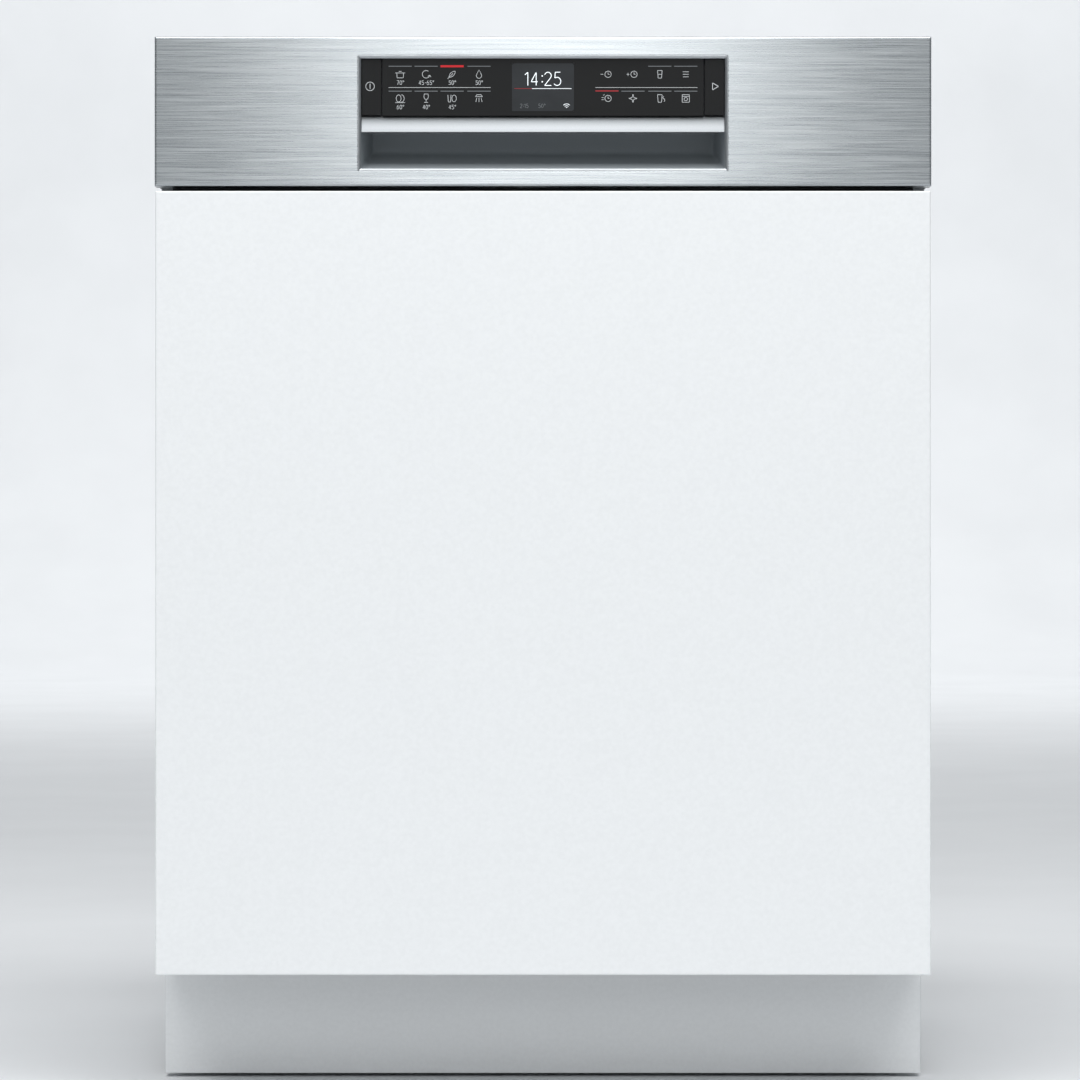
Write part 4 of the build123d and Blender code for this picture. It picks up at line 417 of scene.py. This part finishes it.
def run(*corners):
    """A line with points added near both ends of each run, so that strokes keep their width at corners."""
    p = np.asarray(corners, float)
    a, b = p[:-1], p[1:]
    inner = np.stack([a + (b - a) * 0.04, a + (b - a) * 0.96], 1).reshape(-1, 2)
    return np.concatenate([p[:1], inner, p[-1:]])


# Lines of each sign, about two units across
CLOCK = [arc(0.25, 0, 0.75, 0.75, 0, 360, 24), run((0.25, 0.45), (0.25, 0), (0.6, 0))]
MINUS = run((-1.5, 0), (-0.85, 0))
GLASS = run((-0.55, 0.9), (-0.4, -0.9), (0.4, -0.9), (0.55, 0.9), (-0.55, 0.9))
BOWL = arc(0, -0.3, 0.6, 0.6, 150, 390, 18)
ICONS = {
    "pot": [run((-0.75, 0.3), (-0.7, -0.8), (0.7, -0.8), (0.75, 0.3)), run((-1.1, 0.3), (1.1, 0.3)),
            run((-0.3, 0.65), (0.3, 0.65))],
    "cycle": [arc(0, 0, 0.85, 0.85, 55, 344, 24), run((0.38, -0.45), (0.82, -0.2), (1.1, -0.62))],
    "leaf": [arc(-0.7, 0.7, 1.4, 1.4, -90, 0), arc(0.7, -0.7, 1.4, 1.4, 90, 180),
             run((-1.0, -1.0), (0.25, 0.25))],
    "drop": [np.concatenate([BOWL, [(0, 1.0)], arc(0, -0.3, 0.6, 0.6, 150, 151, 2)])],
    "plates": [arc(-0.35, 0, 0.55, 0.8, 0, 360, 24), arc(0.35, 0, 0.55, 0.8, -100, 100),
               run((-1.1, -0.95), (1.1, -0.95))],
    "wine": [arc(0, 0.5, 0.5, 0.75, 180, 360), run((-0.5, 0.5), (-0.42, 1), (0.42, 1), (0.5, 0.5)),
             run((0, -0.25), (0, -0.9)), run((-0.45, -0.9), (0.45, -0.9))],
    "mixed": [arc(0.45, 0, 0.5, 0.75, 0, 360, 24),
              run((-0.95, 0.8), (-0.85, -0.8), (-0.35, -0.8), (-0.25, 0.8))],
    "shower": [run((-0.8, 0.4), (0.8, 0.4), (0.45, 0.85), (-0.45, 0.85), (-0.8, 0.4)),
               run((-0.5, 0.1), (-0.7, -0.8)), run((0, 0.1), (0, -0.8)), run((0.5, 0.1), (0.7, -0.8))],
    "earlier": CLOCK + [MINUS],
    "later": CLOCK + [MINUS, run((-1.17, 0.33), (-1.17, -0.33))],
    "half": [GLASS, run((-0.48, 0), (0.48, 0))],
    "list": [run((-0.7, z), (0.7, z)) for z in (0.6, 0, -0.6)],
    "faster": CLOCK + [run((-0.9, 0.7), (-0.6, 0.95)), run((-1.3, 0.2), (-0.8, 0.2)),
                       run((-1.3, -0.3), (-0.8, -0.3))],
    "star": [run((0, 1), (0.22, 0.22), (1, 0), (0.22, -0.22), (0, -1),
                 (-0.22, -0.22), (-1, 0), (-0.22, 0.22), (0, 1))],
    "dry": [GLASS, arc(0.95, 0.2, 0.22, 0.3, 90, 270, 8), arc(0.95, -0.4, 0.22, 0.3, 90, -90, 8)],
    "care": [run((-0.85, -0.9), (-0.85, 0.9), (0.85, 0.9), (0.85, -0.9), (-0.85, -0.9)),
             arc(0, -0.15, 0.4, 0.4, 0, 360, 18), run((-0.85, 0.5), (0.85, 0.5))],
}
# Lines of each numeral, one unit high. The letter o stands for the degree sign.
DIGITS = {
    "0": [arc(0.25, 0.5, 0.25, 0.5, 90, 450, 24)],
    "1": [run((0.08, 0.8), (0.3, 1.0), (0.3, 0.0))],
    "2": [np.concatenate([arc(0.25, 0.74, 0.25, 0.26, 165, -30, 12),
                          [(0.0, 0.0), (0.02, 0.0), (0.5, 0.0)]])],
    "3": [arc(0.23, 0.76, 0.24, 0.24, 150, -90), arc(0.23, 0.26, 0.27, 0.26, 90, -150)],
    "4": [run((0.38, 0.0), (0.38, 1.0), (0.0, 0.28), (0.5, 0.28))],
    "5": [run((0.46, 1.0), (0.08, 1.0), (0.05, 0.56)), arc(0.22, 0.31, 0.28, 0.31, 125, -145, 16)],
    "6": [arc(0.25, 0.3, 0.25, 0.3, 0, 360, 20), arc(0.5, 0.3, 0.5, 0.7, 180, 105, 8)],
    "7": [run((0.0, 1.0), (0.5, 1.0), (0.18, 0.0))],
    "-": [run((0.1, 0.5), (0.4, 0.5))],
    ":": [arc(0.12, 0.72, 0.03, 0.03, 0, 360, 8), arc(0.12, 0.28, 0.03, 0.03, 0, 360, 8)],
    "o": [arc(0.15, 0.85, 0.14, 0.14, 0, 360, 12)],
}
ADVANCE = {":": 0.3, "o": 0.4, "-": 0.55, "1": 0.55}


def icon(name, x, z, size):
    """The strokes of one sign, scaled to its place."""
    return [stroke(line * size + (x, z), 0.34) for line in ICONS[name]]


def number(text, x, z, height, width):
    """Numerals in strokes, centred on x."""
    gap = [ADVANCE.get(c, 0.72) for c in text]
    start = x - height * (sum(gap) - 0.22) / 2
    at = start + height * np.concatenate([[0], np.cumsum(gap)[:-1]])
    return [stroke(line * height + (left, z), width) for c, left in zip(text, at) for line in DIGITS[c]]


def bar(x0, x1, z, width):
    """A level stroke."""
    return stroke([(x0, z), (x1, z)], width)


# Keys stand in two rows of four on each side of the display, most of them with a bar above
LEFT = (-110.0, -90.0, -70.0, -49.3)
RIGHT = (49.3, 69.3, 90.0, 110.0)
ROW_1, ROW_2 = 783.2, 764.6
BAR_1, BAR_2, DIVIDER = 789.4, 770.2, 773.0
HALF_BAR, BAR_WIDTH = 8.9, 0.6
LEFT_SIGN, RIGHT_SIGN = 3.42, 3.24
NUMERAL, NUMERAL_STROKE = 3.1, 0.3
NUMERAL_1, NUMERAL_2 = ROW_1 - 8.0, ROW_2 - 8.2
# On the left: the upper and the lower sign of each column, and the temperatures under them
KEYS = (("pot", "plates", "70o", "60o"), ("cycle", "wine", "45-65o", "40o"),
        ("leaf", "mixed", "50o", "45o"), ("drop", "shower", "50o", ""))
OPTIONS = (("earlier", "faster"), ("later", "star"), ("half", "dry"), ("list", "care"))
ink, dim_ink = [], []
for x, (upper, lower, warm, cool) in zip(LEFT, KEYS):
    ink += icon(upper, x, ROW_1, LEFT_SIGN) + icon(lower, x, ROW_2, LEFT_SIGN)
    ink += number(warm, x, NUMERAL_1, NUMERAL, NUMERAL_STROKE)
    ink += number(cool, x, NUMERAL_2, NUMERAL, NUMERAL_STROKE)
for x, (upper, lower) in zip(RIGHT, OPTIONS):
    ink += icon(upper, x, ROW_1, RIGHT_SIGN) + icon(lower, x, ROW_2, RIGHT_SIGN)
ink += [bar(row[0] - HALF_BAR, row[-1] + HALF_BAR, DIVIDER, 0.3) for row in (LEFT, RIGHT)]
for z, keys in ((BAR_1, LEFT[:2] + LEFT[3:] + RIGHT[2:]), (BAR_2, LEFT + RIGHT[1:])):
    dim_ink += [bar(x - HALF_BAR, x + HALF_BAR, z, BAR_WIDTH) for x in keys]
lit = [bar(LEFT[2] - HALF_BAR, LEFT[2] + HALF_BAR, BAR_1, 1.6)]
dim_lit = [bar(RIGHT[0] - HALF_BAR, RIGHT[0] + HALF_BAR, BAR_2 + 0.2, 1.0)]
piece("printed_signs", ink, "door", "black_panel", INK)
piece("printed_lines", dim_ink, "door", "black_panel", DIM_INK)
piece("lit_bar", lit, "door", "black_panel", LIT_RED)
piece("dim_bar", dim_lit, "door", "black_panel", DARK_RED)

# Figures in the display
LINE_Z, LINE_LEFT, LINE_MIDDLE, LINE_RIGHT = 772.2, -22.0, -8.5, 22.0
clock = number("14:25", -0.5, 774.6, 10.2, 0.62) + [bar(LINE_MIDDLE, LINE_RIGHT, LINE_Z, 0.4)]
clock += [stroke(arc(18.2, 757.0, r, r, 45, 135, 8), 0.42) for r in (0.7, 2.0, 3.4)]
small = number("2:15", -14.5, 757.4, 3.0, 0.3) + number("50o", -1.0, 757.4, 3.0, 0.3)
edge = run((-24.3, 754.5), (-24.3, 792.1), (24.3, 792.1), (24.3, 754.5), (-24.3, 754.5))
piece("display_numerals", clock, "door", "black_panel", LIT)
piece("display_small_numerals", small, "door", "black_panel", DIM_INK)
piece("display_progress", [bar(LINE_LEFT, LINE_MIDDLE, LINE_Z, 0.4)], "door", "black_panel", DARK_RED)
piece("display_border", [stroke(edge, 0.9)], "door", "black_panel")

# Signs on the two keys that move
KEY_Z, ON_OFF_X, START_X = 773.9, -133.2, 130.6
ring = arc(ON_OFF_X, KEY_Z, 3.3, 3.3, 0, 360, 32)
upright = [(ON_OFF_X, KEY_Z - 2), (ON_OFF_X, KEY_Z + 2)]
arrow = run((START_X, KEY_Z - 2.7), (START_X, KEY_Z + 2.7), (START_X + 4.6, KEY_Z), (START_X, KEY_Z - 2.7))
piece("on_off_sign", [stroke(ring, 0.4), stroke(upright, 0.45)], "on_off_button", "black_panel", INK)
piece("start_sign", [stroke(arrow, 0.45)], "start_button", "black_panel", INK)

# Racks of round coated wire
WIRE, RIM = 1.9, 2.8
RACK_SIDE, OUTER_WIRE = 242.2, 223.9
LONG_BEND, CROSS_BEND, RIM_BEND = 18, 14, 20
CROSS_RISE, CROSS_INSET, BELT_RISE = 3.5, 8, 8
TINE_COUNT, TINE_INSET, TINE_TIP, ROD_END = 11, 12, 1.2, 6
CLIP_LOW, CLIP_HIGH, CLIP_EDGE = np.array((-3, -7, -6)), np.array((3, 7, 4.4)), 0.8


def rack(node, floor, flare, long_count, cross_count, extra):
    """A welded basket: long wires with leaning ends, cross wires over them, a rim and a belt."""
    low, high = box(node)
    front, back, top = low[1] + RIM, high[1] - RIM, high[2] - RIM
    shapes = []
    for x in np.linspace(-OUTER_WIRE, OUTER_WIRE, long_count):
        line = [(x, front, top), (x, front + flare, floor), (x, back - flare, floor), (x, back, top)]
        shapes.append(tube(bent(line, LONG_BEND), (1, 0, 0), WIRE))
    for y in np.linspace(front + flare + CROSS_INSET, back - flare - CROSS_INSET, cross_count):
        z = floor + CROSS_RISE
        line = [(-RACK_SIDE, y, top), (-RACK_SIDE, y, z), (RACK_SIDE, y, z), (RACK_SIDE, y, top)]
        shapes.append(tube(bent(line, CROSS_BEND), (0, 1, 0), WIRE))
    for z, wire in ((top, RIM), ((top + floor) / 2 + BELT_RISE, WIRE)):
        lean = flare * (top - z) / (top - floor)
        y0, y1 = front + lean, back - lean
        loop = [(0, y0, z), (-RACK_SIDE, y0, z), (-RACK_SIDE, y1, z),
                (RACK_SIDE, y1, z), (RACK_SIDE, y0, z), (0, y0, z)]
        shapes.append(tube(bent(loop, RIM_BEND)[:-1], (0, 0, 1), wire, closed=True))
    return piece(node + "_wires", shapes + extra, node, "coated_wire", replaced=(node,))


def rod(node):
    """Place of a folding row's rod, and half the distance between its clips."""
    low, high = box(node)
    return (low[1] + high[1]) / 2, low[2] + WIRE, high[0] - ROD_END


def clips(node):
    """Two clips that hold the rod of the folding tines."""
    y, z, half = rod(node)
    return [slab((x, y, z) + CLIP_LOW, (x, y, z) + CLIP_HIGH, CLIP_EDGE) for x in (-half, half)]


def tines(node):
    """A folding row: a rod and upright round tines."""
    low, high = box(node)
    y, z, half = rod(node)
    shapes = [tube([(low[0], y, z), (high[0], y, z)], (0, 1, 0), WIRE)]
    top = high[2]
    for x in np.linspace(TINE_INSET - half, half - TINE_INSET, TINE_COUNT):
        shapes.append(tube([(x, y, z), (x, y, top - TINE_TIP), (x, y, top)], (1, 0, 0), WIRE))
    return piece(node.replace("tines", "tine_row"), shapes, node, "coated_wire", replaced=(node,))


# Carriers along the lower rack's sides: a rail, and a leg with an axle at each wheel
WHEEL_NODES = ("wheels_front", "wheels_middle", "wheels_rear")
WHEELS = [sum(box(node))[1] / 2 for node in WHEEL_NODES]
WHEEL_Z = sum(box("wheels_front"))[2] / 2
AXLE = [(0, 0.1), (0, 3.5), (11.4, 3.5), (11.4, 0.1)]
CARRIER_INSIDE, CARRIER_OUTSIDE, CARRIER_EDGE = 236.6, 245.0, 1.5
RAIL_FOOT, RAIL_TOP, RAIL_AHEAD = 234, 248, 56
LEG_HALF, LEG_TOP = 7, 240
carriers = []
for side in (-1, 1):
    x0, x1 = sorted((side * CARRIER_INSIDE, side * CARRIER_OUTSIDE))
    rail_front, rail_back = WHEELS[0] - RAIL_AHEAD, WHEELS[2] + LEG_HALF
    carriers.append(slab((x0, rail_front, RAIL_FOOT), (x1, rail_back, RAIL_TOP), CARRIER_EDGE))
    for y in WHEELS:
        leg_low, leg_high = (x0, y - LEG_HALF, WHEEL_Z - LEG_HALF), (x1, y + LEG_HALF, LEG_TOP)
        carriers.append(slab(leg_low, leg_high, CARRIER_EDGE))
        carriers.append(turned((side * CARRIER_OUTSIDE, y, WHEEL_Z), (side, 0, 0), AXLE, 16))
rack("lower_rack", 194.0, 30.0, 13, 11, clips("lower_tines") + carriers)
rack("upper_rack", 512.0, 20.0, 13, 9, clips("upper_tines"))
tines("lower_tines")
tines("upper_tines")


# Lip above the grip pocket
def moulding(low, high, front):
    """A straight moulding along X. Its sides and ends share no points, so their edges stay sharp."""
    def drawn(lines, places):
        columns = [np.column_stack([np.full(len(line), x), line]) for line, x in zip(lines, places)]
        return sheet(np.stack(columns, 1))

    top, foot = (high[1], high[2]), (high[1], low[2])
    sides = [front, np.array([front[-1], top]), np.array([top, foot]), np.array([foot, front[0]])]
    shapes = [drawn((line, line), (low[0], high[0])) for line in sides]
    back = np.column_stack([np.full(len(front), high[1]), front[:, 1]])
    shapes.append(drawn((back, front), (low[0], low[0])))
    shapes.append(drawn((front, back), (high[0], high[0])))
    return shapes


LEAN, BOW = 1.6, 1.4
low, high = box("handle_lip")
share = np.linspace(0, 1, 25)
front = np.column_stack([low[1] + LEAN * share + BOW * share ** 2, low[2] + share * (high[2] - low[2])])
# The lip's material carries painted shade toward its top.
piece("lip_moulding", moulding(low, high, front), "door", "satin_aluminium", LIP_WITH_PAINTED_SHADE, ("handle_lip",))


# Rounded inside of the grip pocket
def scoop(half, bottom, top, front, depth, rise, draft):
    """Depth behind the mouth: the soft least of back wall, rising floor and ends, for round corners."""
    # Points stand close together near the ends and the floor, where the corners are round
    near = np.linspace(0, draft + 2, 37)
    inner = half - draft - 4
    x = np.concatenate([-half + near, np.linspace(-inner, inner, 60), half - near[::-1]])
    floor = np.linspace(bottom, bottom + rise + 6, 60)
    z = np.concatenate([floor, np.linspace(bottom + rise + 8, top - 0.2, 10), [top - 0.1]])
    x, z = np.meshgrid(x, z)
    softness, before_wall, lip_back = 2.6, 0.3, 5.8
    walls = [np.full(x.shape, depth), (z - bottom) * depth / rise, (half - np.abs(x)) * depth / draft]
    least = -softness * np.log(np.exp(-np.stack(walls) / softness).sum(0))
    inward = np.maximum(least - before_wall, 0.05)
    # The top row comes forward and closes behind the lip
    inward[-1] = np.minimum(inward[-1], lip_back)
    return sheet(np.stack([x, front + inward, z], -1))


lining = scoop(half=140.1, bottom=710.6, top=741.7, front=-281.5, depth=34.0, rise=14.0, draft=7.0)
piece("grip_lining", [lining], "door", "grey_plastic")

# Plates that close the back of the control housing on both sides of the latch
PLATE_FRONT, PLATE_BACK, PLATE_FOOT, PLATE_TOP = -233.8, -232.0, 797.4, 808.4
PLATE_ENDS = ((-290.0, -38.0), (38.0, 290.0))
plates = [slab((x0, PLATE_FRONT, PLATE_FOOT), (x1, PLATE_BACK, PLATE_TOP), 0.4) for x0, x1 in PLATE_ENDS]
piece("housing_plates", plates, "door", "dark_plastic")

# Wheels with a hollow web between hub and tread
WHEEL = [(0, 3.6), (0, 6.5), (1.6, 6.5), (1.6, 13.6), (0, 14.4), (0, 16.2), (0.3, 16.8), (0.9, 17.0),
         (10.1, 17.0), (10.7, 16.8), (11, 16.2), (11, 14.4), (9.4, 13.6), (9.4, 6.5), (11, 6.5), (11, 3.6),
         (0, 3.6)]
WHEEL_INSIDE = CARRIER_OUTSIDE + 0.4
for node, y in zip(WHEEL_NODES, WHEELS):
    pair = [turned((side * WHEEL_INSIDE, y, WHEEL_Z), (side, 0, 0), WHEEL, 40) for side in (-1, 1)]
    piece(node.replace("wheels", "rollers"), pair, node, "grey_plastic", replaced=(node,))

# Feet: a six-sided pad and a threaded stem
PAD = [(0, 0.1), (0, 19.5), (1.5, 21), (6.5, 21), (8, 19.5), (8, 0.1)]
STEM_FOOT, STEM_RADIUS, STEM_DEPTH, STEM_PITCH = 7.5, 6.0, 0.7, 2.0
for node in ("foot_front_left", "foot_front_right", "foot_rear"):
    low, high = box(node)
    x, y = (low + high)[:2] / 2
    stem_length = high[2] - STEM_FOOT
    stem = threaded((x, y, STEM_FOOT), (0, 0, 1), stem_length, STEM_RADIUS, STEM_DEPTH, STEM_PITCH)
    shapes = [turned((x, y, 0), (0, 0, 1), PAD, 6), stem]
    piece(node.replace("foot", "screw_foot"), shapes, node, "black_plastic", replaced=(node,))

# Grips on the racks' front rims
GRIP_HALF, GRIP_HEIGHT, GRIP_DEPTH, GRIP_EDGE = 64, 17, 11, 3.0
for node in ("lower_rack", "upper_rack"):
    low, high = box(node)
    front, top = low[1], high[2]
    grip = slab((-GRIP_HALF, front, top - GRIP_HEIGHT), (GRIP_HALF, front + GRIP_DEPTH, top), GRIP_EDGE)
    piece(node + "_grip", [grip], node, "grey_plastic")

# Thread on the water inlet
low, high = box("inlet_valve")
INLET_Z, INLET_LENGTH, INLET_RADIUS, INLET_DEPTH, INLET_PITCH = 84, 19.5, 13.35, 0.7, 2.3
start = ((low + high)[0] / 2, high[1] - 21, INLET_Z)
stub = threaded(start, (0, 1, 0), INLET_LENGTH, INLET_RADIUS, INLET_DEPTH, INLET_PITCH, 48)
piece("inlet_thread", [stub], "cabinet", "black_plastic")

# Screws in the rear panel and the side panels
HEAD = [(-0.4, 3.8), (0.5, 3.8), (1.4, 3.1), (1.9, 1.9), (1.9, 1.0), (0.9, 0.8), (0.9, 0.05)]
REAR, SIDE = 286.5, 299
spots = [((x, REAR, z), (0, 1, 0)) for x in (-288, 288) for z in (190, 400, 610, 790)]
spots += [((x, REAR, 800), (0, 1, 0)) for x in (-140, 0, 140)]
spots += [((s * SIDE, y, z), (s, 0, 0)) for s in (-1, 1) for y in (-212, 270) for z in (170, 480, 790)]
screws = [turned(spot, axis, HEAD, 20) for spot, axis in spots]
piece("panel_screws", screws, "cabinet", "galvanised")

# Stage: pale paper that runs along the floor and curves up into a backdrop
HALF_WIDTH, NEAR, BEND_FROM, BEND, WALL_TOP = 12.0, -12.0, 9.0, 2.0, 8.0
turn = np.linspace(0, np.pi / 2, 12)
curve = np.stack([BEND_FROM + BEND * np.sin(turn), BEND - BEND * np.cos(turn)], 1)
sweep = np.concatenate([[(NEAR, 0.0)], curve, [(BEND_FROM + BEND, WALL_TOP)]])
grid = np.stack([np.column_stack([np.full(len(sweep), x), sweep]) for x in (-HALF_WIDTH, HALF_WIDTH)], 1)
# Matt paper: an even pale grey.
paper = finish("paper_matt_pale_grey", "E0E2E4", "E4E6E8",
               (300, 300, 300), (0.8, 0.9), 0.001, edge=0.01, IOR=1.45)
smooth_mesh("studio_floor", *sheet(grid), paper)


# Light and camera
def softbox(name, at, toward, size, power):
    """An even rectangular lamp that faces a point."""
    lamp = bpy.data.lights.new(name, "AREA")
    lamp.shape = "RECTANGLE"
    lamp.size, lamp.size_y = size
    lamp.energy = power
    made = bpy.data.objects.new(name, lamp)
    made.location = at
    made.rotation_euler = (Vector(toward) - Vector(at)).to_track_quat("-Z", "Y").to_euler()
    bpy.context.scene.collection.objects.link(made)


softbox("overhead_lamp", (0.0, -1.2, 3.5), (0.0, -0.25, 0.5), (3.6, 1.9), 126.0)
softbox("front_key", (0.0, -4.2, 2.45), (0.0, -0.3, 0.7), (0.8, 2.4), 28.0)
softbox("backdrop_lamp", (0.0, 7.0, 6.5), (0.0, 10.6, 1.6), (10.0, 1.2), 430.0)
world = bpy.data.worlds.new("studio_air")
bpy.context.scene.world = world
world.use_nodes = True
air = world.node_tree.nodes["Background"]
air.inputs["Color"].default_value = linear("E8ECEF")
air.inputs["Strength"].default_value = 0.35
bpy.context.scene.view_settings.view_transform = "Standard"

# The camera looks level at the front from a little to the left of its middle
CAMERA_X, CAMERA_Z, CAMERA_AWAY = -0.0023, 0.4245, 3.117
camera = bpy.data.cameras.new("camera")
camera.lens = 135.0
camera.sensor_width = 36.0
camera.clip_end = 60.0
seen = bpy.data.objects.new("camera", camera)
seen.location = (CAMERA_X, cad_low.y - CAMERA_AWAY, CAMERA_Z)
seen.rotation_euler = (math.pi / 2, 0.0, 0.0)
bpy.context.scene.collection.objects.link(seen)
bpy.context.scene.camera = seen
